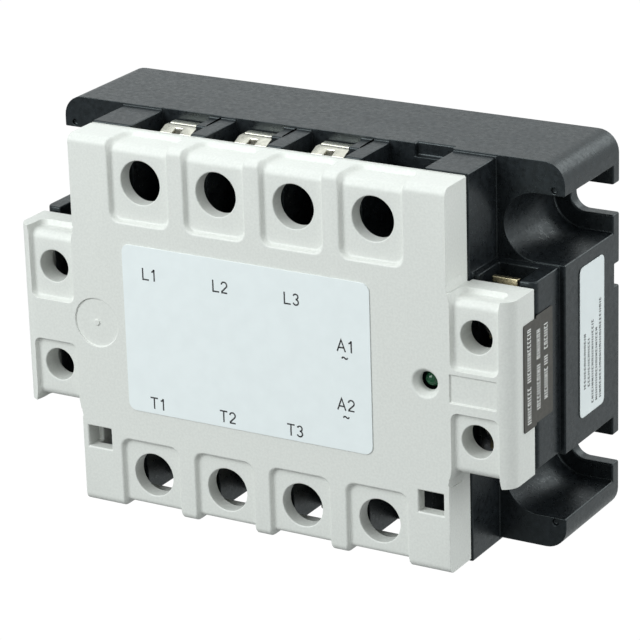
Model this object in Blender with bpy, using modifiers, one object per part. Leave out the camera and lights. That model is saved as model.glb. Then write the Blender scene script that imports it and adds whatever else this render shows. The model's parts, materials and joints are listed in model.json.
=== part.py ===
"""Three-phase solid state relay: moulded housing on an aluminium base plate, with a clip-on terminal cover.

X is the width, Z the height and the mounting plane is Y = 0, so the front faces -Y.
Sizes below are in millimetres. The helpers turn them into metres.
"""

import math

import bmesh
import bpy
from mathutils import Matrix, Vector

MM = 0.001
FIT = 0.3            # gap between neighbouring pieces
PAST = 1.0           # how far a cutter runs past the face it opens
SINK = 2.0           # how deep a joined piece reaches into the one it stands on

# Housing: a flat base with four slotted ears, a terminal block in front and a control wing each side
BASE_HALF_WIDTH = 51.5
BASE_HALF_HEIGHT = 36.0
BASE_FRONT = -22.2
BASE_BACK = -0.2     # the base plate stands this much proud, to meet the heat sink
BASE_CORNER = 4.0
BLOCK_HALF_WIDTH = 38.3
BLOCK_TOP = 35.5
BLOCK_BOTTOM = -36.6
BLOCK_FRONT = -32.6
WING_HALF_WIDTH = 50.4
WING_TOP = 17.3
WING_BOTTOM = -17.3
WING_FRONT = -31.6
WING_ROUND = 1.5
CAVITY_HALF_WIDTH = 36.5
CAVITY_BACK_HALF_HEIGHT = 31.5
CAVITY_STEP = -19.5  # behind this the cavity is tall, in front of it lies between the terminal rows
CAVITY_TOP = 16.0
CAVITY_BOTTOM = -17.0
CAVITY_FRONT = -30.4

# Mounting ears: a round-ended pocket for the screw head, and a slot in its floor
SLOT_X = 46.0
SLOT_Z = 23.8
SLOT_RADIUS = 2.8
POCKET_RADIUS = 6.2
POCKET_FLOOR = -2.8
KEY_NOTCH_Z = (7.4, 11.6)
KEY_NOTCH_DEPTH = 1.9

# Terminals: three live columns and a blank one, in two rows
COLUMN_PITCH = 15.8
COLUMNS = [(i - 1.5) * COLUMN_PITCH for i in range(4)]
LIVE_COLUMNS = COLUMNS[:3]
TOP_ROW_Z = 27.6
BOTTOM_ROW_Z = -28.6
CHAMBER_HALF_WIDTH = 6.3
CHAMBER_BACK = -22.0
CHAMBER_DEPTH = 9.0      # from a screw's axis to the chamber's inner end
BLANK_NOTCH_X = (-1.3, 6.1)  # from the blank column's middle
BLANK_NOTCH_START = 33.5
BLANK_NOTCH_FLOOR = -20.9
RIB_INNER_X = 3.8
RIB_FRONT = -27.0
RIB_START = 4.0          # from the screw's axis
RIB_SINK = 0.2
RIB_SHORT = 0.1          # a rib ends this far inside the block's top or bottom face
ROWS = {"L": (TOP_ROW_Z, 1), "T": (BOTTOM_ROW_Z, -1)}

# Power terminal pieces, measured outwards from the screw's axis along the wire
BAR_Y = (-24.3, -22.4)
BAR_HALF_WIDTH = 4.8
TAB_HALF_WIDTH = 3.4
TAB_END = 6.7
WIDE_END = 3.6
BAR_LEG = (12.8, 14.0)
FOOT_LENGTH = 3.2
BAR_INNER_REACH = 5.2
CLAMP_INNER_REACH = 5.0
CLAMP_Y = (-26.0, -24.6)
CLAMP_LIP_FRONT = -27.9
LIP_RANGE = (4.7, 5.9)
LIP_NOTCH_HALF_WIDTH = 0.8
LIP_NOTCH_START = 3.0
LIP_NOTCH_FLOOR = 0.4    # in front of the clamp's plate
M5_SHANK_RADIUS = 2.45
M5_HEAD_RADIUS = 4.2
M5_HEAD_HEIGHT = 2.6
M5_LENGTH = 12.0
M5_CLEAR_RADIUS = 2.75
M5_BORE_RADIUS = 3.0

# Control terminals A1 and A2 in the right wing
CONTROL_X = 43.4
CONTROL_Z = {"A1": 9.1, "A2": -10.05}
CONTROL_CHAMBER_X = (39.7, 47.3)
CONTROL_CHAMBER_BACK = -24.0
CONTROL_CHAMBER_DEPTH = 5.5
CONTROL_BORE_DEPTH = 3.4
CONTROL_HALF_WIDTH = 2.5
CONTROL_BAR_Y = (-29.2, -28.2)
CONTROL_CLAMP_Y = (-30.6, -29.5)
CONTROL_BAR_REACH = (-4.5, 7.4)      # inwards and outwards from the screw's axis
CONTROL_CLAMP_REACH = (-3.7, 5.1)
CONTROL_TAIL_X = 32.5
CONTROL_TAIL_HALF_HEIGHT = 1.5
M3_SHANK_RADIUS = 1.45
M3_HEAD_RADIUS = 2.7
M3_HEAD_HEIGHT = 2.2
M3_LENGTH = 9.0
M3_CLEAR_RADIUS = 1.75

# Cover
COVER_HALF_WIDTH = 38.25
COVER_TOP = 35.2
COVER_BOTTOM = -35.8
COVER_FRONT = -41.0
COVER_REAR = -33.1
COVER_WING_HALF_WIDTH = 50.5
COVER_WING_TOP = 16.5
COVER_WING_BOTTOM = -17.7
COVER_WING_REAR = -32.0
COVER_WING_ROUND = 4.0
COVER_EDGE_ROUND = 1.3
COVER_WALL = 2.0
COVER_INNER_FRONT = -38.5
PAD_DEPTH = 1.0
PAD_HALF_WIDTH = 6.0
PAD_CORNER = 1.8
WING_PAD_CORNER = 1.4
PAD_WRAP = 5.0           # how far a pad runs back over the cover's edge
WING_PAD_WRAP = 3.5
TOP_PAD_REACH = 7.3
BOTTOM_PAD_REACH = 6.3
WING_PAD_X = (38.9, 48.0)
WING_PAD_Z = {"A1": 3.1, "A2": -5.4}
POWER_HOLE_RADIUS = 4.1
POWER_TUBE_RADIUS = 5.5
POWER_TUBE_END = -37.0
CONTROL_HOLE_RADIUS = 3.05
CONTROL_TUBE_RADIUS = 4.3
CONTROL_TUBE_END = -34.2
LED_PLACE = (33.9, -0.5)
LED_HOLE_RADIUS = 1.8
LED_SINK_RADIUS = 2.55
LED_SINK_DEPTH = 1.2
LED_SINK_SLOPE = 0.3     # radius gained or lost where the sink's cone runs past its ends
WINDOW_X = (32.1, 37.1)
WINDOW_Z = (-24.8, -20.7)
HOOK_X = (32.7, 36.5)
HOOK_Z = (-20.3, -19.0)
HOOK_TIP = -27.6
BARB_INSET = 0.2
BARB_LENGTH = 1.4
BARB_REACH = 1.0
INSIDE_ROOT = -38.9      # the cover's inner details start inside its front wall
PEG_PLACE = (34.3, 28.0)
PEG_RADIUS = 1.5
PEG_TIP = -29.5

# Inner pieces
PLATE_HALF_WIDTH = 38.0
PLATE_HALF_HEIGHT = 33.5
PLATE_THICKNESS = 3.0
SUBSTRATE_HALF_WIDTH = 7.2
SUBSTRATE_HALF_HEIGHT = 22.0
SUBSTRATE_THICKNESS = 1.0
CHIP_SIZE = 9.0
CHIP_THICKNESS = 0.5
CHIP_Z = 6.5
BOARD_HALF_WIDTH = 35.0
BOARD_Z = (-16.0, 15.0)
BOARD_Y = (-27.4, -25.8)
OPTO_HALF_WIDTH = 3.2
OPTO_THICKNESS = 3.5
OPTO_Z = (1.5, 10.0)
VARISTOR_RADIUS = 5.0
VARISTOR_THICKNESS = 4.0
VARISTOR_Z = -6.0
RECTIFIER_X = (18.0, 24.0)
RECTIFIER_Z = (-13.0, -7.5)
RECTIFIER_THICKNESS = 3.0
CAPACITOR_PLACE = (27.0, 3.0)
CAPACITOR_RADIUS = 3.9
CAPACITOR_LENGTH = 11.0
LED_HALF_SIZE = (1.0, 1.6)
LED_THICKNESS = 1.2

# Labels
LABEL_THICKNESS = 0.15
LABEL_GAP = 0.05
FRONT_LABEL_X = (-27.6, 23.3)
FRONT_LABEL_Z = (-15.8, 16.1)
SIDE_LABEL_Y = (-16.7, -6.9)
SIDE_LABEL_Z = (-12.9, 15.3)
SEAL_COVER_Y = (-36.5, -32.1)
SEAL_HOUSING_Y = (-31.2, -25.3)
SEAL_Z = (-8.6, 11.1)
LABEL_CORNER = 1.0

ROUND_STEPS = 24
CORNER_STEPS = 5

COLOURS = {              # base colour, roughness, metallic
    "black_plastic": ((0.035, 0.038, 0.040), 0.55, 0.0),
    "grey_plastic": ((0.69, 0.71, 0.67), 0.45, 0.0),
    "aluminium": ((0.80, 0.81, 0.82), 0.35, 1.0),
    "nickel": ((0.78, 0.76, 0.68), 0.30, 1.0),
    "brass": ((0.75, 0.62, 0.34), 0.35, 1.0),
    "ceramic": ((0.86, 0.85, 0.80), 0.60, 0.0),
    "silicon": ((0.20, 0.21, 0.24), 0.25, 0.6),
    "board_green": ((0.03, 0.20, 0.09), 0.50, 0.0),
    "component_black": ((0.03, 0.03, 0.03), 0.50, 0.0),
    "varistor_blue": ((0.05, 0.14, 0.38), 0.45, 0.0),
    "led_green": ((0.02, 0.12, 0.05), 0.20, 0.0),
    "label_white": ((0.78, 0.83, 0.84), 0.40, 0.0),
    "seal_grey": ((0.07, 0.065, 0.055), 0.40, 0.0),
}


def clear_scene():
    for obj in list(bpy.data.objects):
        bpy.data.objects.remove(obj, do_unlink=True)


def new_collection(name, parent=None):
    collection = bpy.data.collections.new(name)
    (parent or bpy.context.scene.collection).children.link(collection)
    return collection


def material(name):
    found = bpy.data.materials.get(name)
    if found:
        return found
    colour, roughness, metallic = COLOURS[name]
    made = bpy.data.materials.new(name)
    made.use_nodes = True
    shader = made.node_tree.nodes["Principled BSDF"]
    shader.inputs["Base Color"].default_value = (*colour, 1.0)
    shader.inputs["Roughness"].default_value = roughness
    shader.inputs["Metallic"].default_value = metallic
    return made


def add_object(name, mesh, place, collection, finish=None):
    """An object at a place in millimetres. Without a finish it is a cutter."""
    obj = bpy.data.objects.new(name, mesh)
    obj.location = Vector(place) * MM
    collection.objects.link(obj)
    if finish:
        if not mesh.materials:
            mesh.materials.append(material(finish))
    else:
        obj.hide_render = True
        obj.display_type = "WIRE"
    return obj


def edges_along(bm, axis, chosen):
    """The straight edges along an axis whose middle passes the test."""
    found = []
    for edge in bm.edges:
        run = edge.verts[1].co - edge.verts[0].co
        middle = (edge.verts[0].co + edge.verts[1].co) / 2
        if abs(run[axis]) > 0.99 * run.length and chosen(middle):
            found.append(edge)
    return found


def block(name, x, y, z, collection, finish=None, rounding=()):
    """A box between low and high x, y and z. Each rounding is (axis, radius, test of an edge's side)."""
    low = Vector((min(x), min(y), min(z)))
    high = Vector((max(x), max(y), max(z)))
    bm = bmesh.new()
    bmesh.ops.create_cube(bm, size=1.0)
    bmesh.ops.scale(bm, vec=(high - low) * MM, verts=bm.verts)
    for axis, radius, chosen in rounding:
        bmesh.ops.bevel(
            bm, geom=edges_along(bm, axis, chosen), offset=radius * MM, offset_type="OFFSET",
            segments=CORNER_STEPS, profile=0.5, affect="EDGES", clamp_overlap=True,
        )
    mesh = bpy.data.meshes.new(name)
    bm.to_mesh(mesh)
    bm.free()
    return add_object(name, mesh, (low + high) / 2, collection, finish)


def everywhere(middle):
    return True


def rod(name, x, z, y, radius, collection, finish=None, end_radius=None, steps=ROUND_STEPS):
    """A cylinder or cone along Y between two depths. end_radius is its radius at the front end."""
    back, front = max(y), min(y)
    bm = bmesh.new()
    bmesh.ops.create_cone(
        bm, cap_ends=True, segments=steps, radius1=radius * MM,
        radius2=(radius if end_radius is None else end_radius) * MM, depth=(back - front) * MM,
    )
    bmesh.ops.rotate(bm, cent=(0, 0, 0), matrix=Matrix.Rotation(math.radians(90), 3, "X"), verts=bm.verts)
    mesh = bpy.data.meshes.new(name)
    bm.to_mesh(mesh)
    bm.free()
    return add_object(name, mesh, (x, (back + front) / 2, z), collection, finish)


def boolean(obj, operation, collection):
    """Cuts or joins everything in a collection of helpers."""
    modifier = obj.modifiers.new(collection.name, "BOOLEAN")
    modifier.operation = operation
    modifier.operand_type = "COLLECTION"
    modifier.collection = collection
    modifier.solver = "EXACT"
    return modifier


def baked_mesh(obj, *helper_collections):
    """The evaluated mesh of an object, after which it and its helpers are removed."""
    bpy.context.view_layer.update()
    graph = bpy.context.evaluated_depsgraph_get()
    mesh = bpy.data.meshes.new_from_object(obj.evaluated_get(graph))
    bpy.data.objects.remove(obj, do_unlink=True)
    for collection in helper_collections:
        for used in list(collection.objects):
            bpy.data.objects.remove(used, do_unlink=True)
        bpy.data.collections.remove(collection)
    return mesh


def outline_prism(name, points, half_width, collection, finish):
    """A flat YZ outline, in millimetres, given thickness along X by a filled 2D curve."""
    curve = bpy.data.curves.new(name, "CURVE")
    curve.dimensions = "2D"
    curve.fill_mode = "BOTH"
    curve.extrude = half_width * MM
    spline = curve.splines.new("POLY")
    spline.points.add(len(points) - 1)
    for point, (y, z) in zip(spline.points, points):
        point.co = (y * MM, z * MM, 0.0, 1.0)
    spline.use_cyclic_u = True
    source = bpy.data.objects.new(name + "_outline", curve)
    collection.objects.link(source)
    # The curve lies in its local XY plane: local x is Y, local y is Z and its thickness is X.
    source.matrix_world = Matrix(((0, 0, 1, 0), (1, 0, 0, 0), (0, 1, 0, 0), (0, 0, 0, 1)))
    bpy.context.view_layer.update()
    graph = bpy.context.evaluated_depsgraph_get()
    mesh = bpy.data.meshes.new_from_object(source.evaluated_get(graph))
    mesh.transform(source.matrix_world)
    bm = bmesh.new()
    bm.from_mesh(mesh)
    bmesh.ops.remove_doubles(bm, verts=bm.verts, dist=0.00001)
    bm.to_mesh(mesh)
    bm.free()
    bpy.data.objects.remove(source, do_unlink=True)
    bpy.data.curves.remove(curve)
    return add_object(name, mesh, (0, 0, 0), collection, finish)


def turned(name, profile, collection, finish, steps=ROUND_STEPS):
    """A solid turned about Y. The profile is (radius, distance towards the front), from front to back."""
    mesh = bpy.data.meshes.new(name)
    points = [(radius * MM, -forward * MM, 0.0) for radius, forward in reversed(profile)]
    mesh.from_pydata(points, [(i, i + 1) for i in range(len(points) - 1)], [])
    obj = add_object(name, mesh, (0, 0, 0), collection, finish)
    screw = obj.modifiers.new("turn", "SCREW")
    screw.axis = "Y"
    screw.steps = screw.render_steps = steps
    screw.use_merge_vertices = True
    screw.merge_threshold = 0.00001
    screw.use_normal_calculate = True
    return obj


# ---------------------------------------------------------------- housing

def chamber_ends(row_z, side):
    """The inner end and the open end of a terminal chamber, which opens away from the middle."""
    open_end = (BLOCK_TOP if side > 0 else BLOCK_BOTTOM) + side * 1.5 * PAST
    return row_z - side * CHAMBER_DEPTH, open_end


def cut_ear(collection, side_x, side_z):
    """A mounting ear's pocket with its slot, both open to the side."""
    outside = side_x * (BASE_HALF_WIDTH + PAST)
    x, z = side_x * SLOT_X, side_z * SLOT_Z
    name = f"ear_{'right' if side_x > 0 else 'left'}_{'top' if side_z > 0 else 'bottom'}"
    for part, radius, depth in (
        ("pocket", POCKET_RADIUS, (BASE_FRONT - PAST, POCKET_FLOOR)),
        ("slot", SLOT_RADIUS, (POCKET_FLOOR - PAST, PAST)),
    ):
        rod(f"{name}_{part}_end", x, z, depth, radius, collection, steps=2 * ROUND_STEPS)
        block(f"{name}_{part}", (x, outside), depth, (z - radius, z + radius), collection)


def cut_power_chambers(collection):
    for row, (row_z, side) in ROWS.items():
        ends = chamber_ends(row_z, side)
        for number, x in enumerate(COLUMNS, 1):
            name = f"chamber_{row}{number}"
            block(name, (x - CHAMBER_HALF_WIDTH, x + CHAMBER_HALF_WIDTH),
                  (BLOCK_FRONT - PAST, CHAMBER_BACK), ends, collection)
            if x not in LIVE_COLUMNS:
                block(name + "_notch", (x + BLANK_NOTCH_X[0], x + BLANK_NOTCH_X[1]),
                      (CHAMBER_BACK - PAST, BLANK_NOTCH_FLOOR),
                      (side * BLANK_NOTCH_START, side * (BASE_HALF_HEIGHT + PAST)), collection)
                continue
            rod(name + "_bore", x, row_z, (CHAMBER_BACK - PAST, CAVITY_STEP + PAST), M5_BORE_RADIUS,
                collection)
            inner_end = CAVITY_TOP if side > 0 else CAVITY_BOTTOM
            block(name + "_bar_slot", (x - TAB_HALF_WIDTH - FIT, x + TAB_HALF_WIDTH + FIT),
                  (BAR_Y[0] - FIT, BAR_Y[1] + FIT), (inner_end - side * PAST, ends[0] + side * PAST),
                  collection)


def cut_control_chambers(collection):
    for name, z in CONTROL_Z.items():
        side = 1 if z > 0 else -1
        ends = (z - side * CONTROL_CHAMBER_DEPTH, side * (WING_TOP + 1.5 * PAST))
        for side_x, label in ((1, "right"), (-1, "left")):
            near, far = (side_x * value for value in CONTROL_CHAMBER_X)
            block(f"control_chamber_{name}_{label}", (near, far),
                  (WING_FRONT - 2 * PAST, CONTROL_CHAMBER_BACK), ends, collection)
        rod(f"control_bore_{name}", CONTROL_X, z,
            (CONTROL_CHAMBER_BACK - PAST, CONTROL_CHAMBER_BACK + CONTROL_BORE_DEPTH), M3_CLEAR_RADIUS,
            collection)
        block(f"control_tail_slot_{name}", (CAVITY_HALF_WIDTH - PAST, CONTROL_CHAMBER_X[0] + PAST),
              (CONTROL_BAR_Y[0] - FIT, CONTROL_BAR_Y[1] + FIT),
              (z - CONTROL_TAIL_HALF_HEIGHT - FIT, z + CONTROL_TAIL_HALF_HEIGHT + FIT), collection)


def build_housing(parts, helpers):
    housing = block("housing", (-BASE_HALF_WIDTH, BASE_HALF_WIDTH), (BASE_FRONT, BASE_BACK),
                    (-BASE_HALF_HEIGHT, BASE_HALF_HEIGHT), parts, "black_plastic",
                    rounding=((1, BASE_CORNER, everywhere),))

    joined = new_collection("housing_joined", helpers)
    block("terminal_block", (-BLOCK_HALF_WIDTH, BLOCK_HALF_WIDTH), (BLOCK_FRONT, BASE_FRONT + SINK),
          (BLOCK_BOTTOM, BLOCK_TOP), joined)
    block("control_wings", (-WING_HALF_WIDTH, WING_HALF_WIDTH), (WING_FRONT, BASE_FRONT + SINK),
          (WING_BOTTOM, WING_TOP), joined, rounding=((2, WING_ROUND, lambda middle: middle.y < 0),))
    boolean(housing, "UNION", joined)

    cut = new_collection("housing_cut", helpers)
    for side_x in (1, -1):
        for side_z in (1, -1):
            cut_ear(cut, side_x, side_z)
        edge = side_x * BASE_HALF_WIDTH
        name = "right" if side_x > 0 else "left"
        block(f"key_notch_{name}", (edge - side_x * KEY_NOTCH_DEPTH, edge + side_x * PAST),
              (BASE_BACK - KEY_NOTCH_DEPTH, PAST), KEY_NOTCH_Z, cut)
        block(f"hook_pocket_{name}", (side_x * (HOOK_X[0] - 2 * FIT), side_x * (HOOK_X[1] + 2 * FIT)),
              (BLOCK_FRONT - PAST, HOOK_TIP + 2 * FIT), (HOOK_Z[0] - 2.0, HOOK_Z[1] + 2 * FIT), cut)
        rod(f"peg_hole_{name}", side_x * PEG_PLACE[0], PEG_PLACE[1], (BLOCK_FRONT - PAST, PEG_TIP + 2 * FIT),
            PEG_RADIUS + FIT, cut)
    cut_power_chambers(cut)
    cut_control_chambers(cut)
    block("cavity_tall", (-CAVITY_HALF_WIDTH, CAVITY_HALF_WIDTH), (CAVITY_STEP, PAST),
          (-CAVITY_BACK_HALF_HEIGHT, CAVITY_BACK_HALF_HEIGHT), cut)
    block("cavity_middle", (-CAVITY_HALF_WIDTH, CAVITY_HALF_WIDTH), (CAVITY_FRONT, CAVITY_STEP + PAST),
          (CAVITY_BOTTOM, CAVITY_TOP), cut)
    block("plate_recess", (-PLATE_HALF_WIDTH - FIT, PLATE_HALF_WIDTH + FIT), (-PLATE_THICKNESS - FIT, PAST),
          (-PLATE_HALF_HEIGHT - FIT, PLATE_HALF_HEIGHT + FIT), cut)
    rod("light_guide_hole", *LED_PLACE, (BLOCK_FRONT - PAST, CAVITY_FRONT + PAST), LED_HOLE_RADIUS, cut)
    boolean(housing, "DIFFERENCE", cut)

    ribs = new_collection("housing_ribs", helpers)
    for row, (row_z, side) in ROWS.items():
        end = (BLOCK_TOP if side > 0 else BLOCK_BOTTOM) - side * RIB_SHORT
        for number, x in enumerate(LIVE_COLUMNS, 1):
            block(f"rib_{row}{number}", (x + RIB_INNER_X, x + CHAMBER_HALF_WIDTH + RIB_SINK),
                  (RIB_FRONT, BASE_FRONT + SINK), (row_z + side * RIB_START, end), ribs)
    boolean(housing, "UNION", ribs)
    return housing


# ---------------------------------------------------------------- cover

def cut_power_pads(collection):
    """Each pad is a shallow recess round its hole that wraps over the cover's edge."""
    for row, (row_z, side) in ROWS.items():
        edge = COVER_TOP if side > 0 else COVER_BOTTOM
        reach = TOP_PAD_REACH if side > 0 else BOTTOM_PAD_REACH
        for number, x in enumerate(COLUMNS, 1):
            sides = (x - PAD_HALF_WIDTH, x + PAD_HALF_WIDTH)
            block(f"pad_{row}{number}", sides, (COVER_FRONT - PAST, COVER_FRONT + PAD_DEPTH),
                  (row_z - side * reach, edge + side * PAST), collection,
                  rounding=((1, PAD_CORNER, lambda middle, s=side: middle.z * s < 0),))
            block(f"pad_wrap_{row}{number}", sides, (COVER_FRONT - PAST, COVER_FRONT + PAD_WRAP),
                  (edge - side * PAD_DEPTH, edge + side * PAST), collection)
            rod(f"access_{row}{number}", x, row_z, (COVER_FRONT - PAST, POWER_TUBE_END + PAST),
                POWER_HOLE_RADIUS, collection, steps=32)


def cut_control_pads(collection):
    for name, z in CONTROL_Z.items():
        side = 1 if z > 0 else -1
        edge = COVER_WING_TOP if side > 0 else COVER_WING_BOTTOM
        for side_x, label in ((1, "right"), (-1, "left")):
            sides = tuple(side_x * value for value in WING_PAD_X)
            block(f"pad_{name}_{label}", sides, (COVER_FRONT - PAST, COVER_FRONT + PAD_DEPTH),
                  (WING_PAD_Z[name], edge + side * PAST), collection,
                  rounding=((1, WING_PAD_CORNER, lambda middle, s=side: middle.z * s < 0),))
            block(f"pad_wrap_{name}_{label}", sides, (COVER_FRONT - PAST, COVER_FRONT + WING_PAD_WRAP),
                  (edge - side * PAD_DEPTH, edge + side * PAST), collection)
            rod(f"access_{name}_{label}", side_x * CONTROL_X, z,
                (COVER_FRONT - PAST, CONTROL_TUBE_END + PAST), CONTROL_HOLE_RADIUS, collection)


def build_cover(parts, helpers):
    cover = block("terminal_cover", (-COVER_HALF_WIDTH, COVER_HALF_WIDTH), (COVER_FRONT, COVER_REAR),
                  (COVER_BOTTOM, COVER_TOP), parts, "grey_plastic",
                  rounding=((0, COVER_EDGE_ROUND, lambda middle: middle.y < 0),))
    joined = new_collection("cover_joined", helpers)
    block("cover_wings", (-COVER_WING_HALF_WIDTH, COVER_WING_HALF_WIDTH), (COVER_FRONT, COVER_WING_REAR),
          (COVER_WING_BOTTOM, COVER_WING_TOP), joined,
          rounding=((2, COVER_WING_ROUND, lambda middle: middle.y < 0),))
    boolean(cover, "UNION", joined)

    hollow = new_collection("cover_hollow", helpers)
    inner = (COVER_INNER_FRONT, COVER_WING_REAR + PAST)
    block("cover_inside", (-COVER_HALF_WIDTH + COVER_WALL, COVER_HALF_WIDTH - COVER_WALL), inner,
          (COVER_BOTTOM + COVER_WALL, COVER_TOP - COVER_WALL), hollow)
    block("wings_inside", (-COVER_WING_HALF_WIDTH + COVER_WALL, COVER_WING_HALF_WIDTH - COVER_WALL), inner,
          (COVER_WING_BOTTOM + COVER_WALL, COVER_WING_TOP - COVER_WALL), hollow,
          rounding=((2, COVER_WING_ROUND - COVER_WALL, lambda middle: middle.y < 0),))
    # The cover's middle sits against the block, so its wings alone reach further back.
    block("wing_step", (-BLOCK_HALF_WIDTH - FIT, BLOCK_HALF_WIDTH + FIT),
          (COVER_REAR - FIT / 3, COVER_WING_REAR + PAST),
          (COVER_WING_BOTTOM - PAST, COVER_WING_TOP + PAST), hollow)
    boolean(cover, "DIFFERENCE", hollow)

    inside = new_collection("cover_inside_details", helpers)
    for row, (row_z, _) in ROWS.items():
        for number, x in enumerate(COLUMNS, 1):
            rod(f"tube_{row}{number}", x, row_z, (INSIDE_ROOT, POWER_TUBE_END), POWER_TUBE_RADIUS, inside)
    for side_x in (1, -1):
        for name, z in CONTROL_Z.items():
            rod(f"tube_{name}_{side_x}", side_x * CONTROL_X, z, (INSIDE_ROOT, CONTROL_TUBE_END),
                CONTROL_TUBE_RADIUS, inside)
        block(f"hook_{side_x}", tuple(side_x * value for value in HOOK_X), (INSIDE_ROOT, HOOK_TIP), HOOK_Z,
              inside)
        barb_x = (side_x * (HOOK_X[0] + BARB_INSET), side_x * (HOOK_X[1] - BARB_INSET))
        block(f"hook_barb_{side_x}", barb_x, (HOOK_TIP - BARB_LENGTH, HOOK_TIP - BARB_INSET / 2),
              (HOOK_Z[0] - BARB_REACH, HOOK_Z[0] + BARB_REACH / 2), inside)
        rod(f"peg_{side_x}", side_x * PEG_PLACE[0], PEG_PLACE[1], (INSIDE_ROOT, PEG_TIP), PEG_RADIUS, inside,
            steps=16)
    boolean(cover, "UNION", inside)

    cut = new_collection("cover_cut", helpers)
    cut_power_pads(cut)
    cut_control_pads(cut)
    for side_x in (1, -1):
        block(f"snap_window_{side_x}", tuple(side_x * value for value in WINDOW_X),
              (COVER_FRONT - PAST, COVER_INNER_FRONT + PAST), WINDOW_Z, cut)
    rod("light_guide_sink", *LED_PLACE, (COVER_FRONT - PAST / 2, COVER_FRONT + LED_SINK_DEPTH),
        LED_HOLE_RADIUS - LED_SINK_SLOPE, cut, end_radius=LED_SINK_RADIUS + LED_SINK_SLOPE)
    rod("light_guide_opening", *LED_PLACE, (COVER_FRONT - PAST, COVER_INNER_FRONT + PAST), LED_HOLE_RADIUS,
        cut)
    boolean(cover, "DIFFERENCE", cut)
    return cover


# ---------------------------------------------------------------- terminals

def cross_recess(name, z_front, width, length, depth, collection):
    """The two bars that cut a screw's cross recess, at the front of its head."""
    for part, (half_x, half_z) in enumerate(((length / 2, width / 2), (width / 2, length / 2))):
        block(f"{name}_{part}", (-half_x, half_x), (z_front - PAST, z_front + depth), (-half_z, half_z),
              collection)


def screw_mesh(name, shank, head, head_height, length, finish, parts, helpers):
    """A pan head screw whose origin is under its head, on its axis. The head is towards the front."""
    profile = [
        (0.0, head_height), (head * 0.78, head_height), (head * 0.95, head_height * 0.8),
        (head, head_height * 0.45),
        (head, 0.0), (shank, 0.0), (shank, 0.6 - length), (shank * 0.7, -length), (0.0, -length),
    ]
    screw = turned(name, profile, parts, finish)
    recess = new_collection(name + "_recess", helpers)
    cross_recess(name + "_recess", -head_height, head * 0.22, head * 1.25, head_height * 0.6, recess)
    boolean(screw, "DIFFERENCE", recess)
    return baked_mesh(screw, recess)


def bar_mesh(row_z, side, parts, helpers):
    """A terminal bar: a tab and a tapped plate in the chamber, and a leg down to the substrate."""
    outer, wide = row_z + side * TAB_END, row_z + side * WIDE_END
    leg_near, leg_far = (side * value for value in BAR_LEG)
    foot_end = leg_far + side * FOOT_LENGTH
    foot_back = -PLATE_THICKNESS - 2 * FIT - SUBSTRATE_THICKNESS
    foot_front = foot_back - BAR_LEG[1] + BAR_LEG[0]
    outline = [
        (BAR_Y[0], outer), (BAR_Y[0], leg_near), (foot_back, leg_near), (foot_back, foot_end),
        (foot_front, foot_end), (foot_front, leg_far), (BAR_Y[1], leg_far), (BAR_Y[1], outer),
    ]
    bar = outline_prism("bar", outline, TAB_HALF_WIDTH, parts, "nickel")
    joined = new_collection("bar_joined", helpers)
    block("bar_plate", (-BAR_HALF_WIDTH, BAR_HALF_WIDTH), BAR_Y, (row_z - side * BAR_INNER_REACH, wide),
          joined)
    boolean(bar, "UNION", joined)
    cut = new_collection("bar_cut", helpers)
    rod("bar_bore", 0, row_z, (BAR_Y[0] - PAST, BAR_Y[1] + PAST), M5_CLEAR_RADIUS, cut)
    boolean(bar, "DIFFERENCE", cut)
    return baked_mesh(bar, joined, cut)


def clamp_mesh(row_z, side, parts, helpers):
    """A clamp plate with a bent lip towards the wire's side. It rises with its screw."""
    outer = row_z + side * TAB_END
    lip_low, lip_high = (row_z + side * value for value in LIP_RANGE)
    outline = [
        (CLAMP_Y[1], row_z - side * CLAMP_INNER_REACH), (CLAMP_Y[1], outer), (CLAMP_Y[0], outer),
        (CLAMP_LIP_FRONT, lip_high), (CLAMP_LIP_FRONT, lip_low), (CLAMP_Y[0], lip_low),
        (CLAMP_Y[0], row_z - side * CLAMP_INNER_REACH),
    ]
    clamp = outline_prism("clamp", outline, TAB_HALF_WIDTH, parts, "nickel")
    joined = new_collection("clamp_joined", helpers)
    block("clamp_plate", (-BAR_HALF_WIDTH, BAR_HALF_WIDTH), CLAMP_Y,
          (row_z - side * (CLAMP_INNER_REACH + 0.1), row_z + side * WIDE_END), joined)
    boolean(clamp, "UNION", joined)
    cut = new_collection("clamp_cut", helpers)
    rod("clamp_bore", 0, row_z, (CLAMP_Y[0] - PAST, CLAMP_Y[1] + PAST), M5_CLEAR_RADIUS, cut)
    block("clamp_notch", (-LIP_NOTCH_HALF_WIDTH, LIP_NOTCH_HALF_WIDTH),
          (CLAMP_LIP_FRONT - PAST, CLAMP_Y[0] - LIP_NOTCH_FLOOR),
          (row_z + side * LIP_NOTCH_START, outer + side * PAST), cut)
    boolean(clamp, "DIFFERENCE", cut)
    return baked_mesh(clamp, joined, cut)


def recentred(mesh, row_z):
    """Moves a mesh made in place so that its origin is on its screw's axis."""
    mesh.transform(Matrix.Translation((0, 0, -row_z * MM)))
    return mesh


def build_power_terminals(parts, helpers):
    screw = screw_mesh("m5_screw", M5_SHANK_RADIUS, M5_HEAD_RADIUS, M5_HEAD_HEIGHT, M5_LENGTH, "nickel",
                       parts, helpers)
    for row, (row_z, side) in ROWS.items():
        bar = recentred(bar_mesh(row_z, side, parts, helpers), row_z)
        clamp = recentred(clamp_mesh(row_z, side, parts, helpers), row_z)
        for number, x in enumerate(LIVE_COLUMNS, 1):
            add_object(f"terminal_bar_{row}{number}", bar, (x, 0, row_z), parts, "nickel")
            add_object(f"clamp_plate_{row}{number}", clamp, (x, 0, row_z), parts, "nickel")
            add_object(f"clamp_screw_{row}{number}", screw, (x, CLAMP_Y[0] - FIT, row_z), parts, "nickel")


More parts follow.
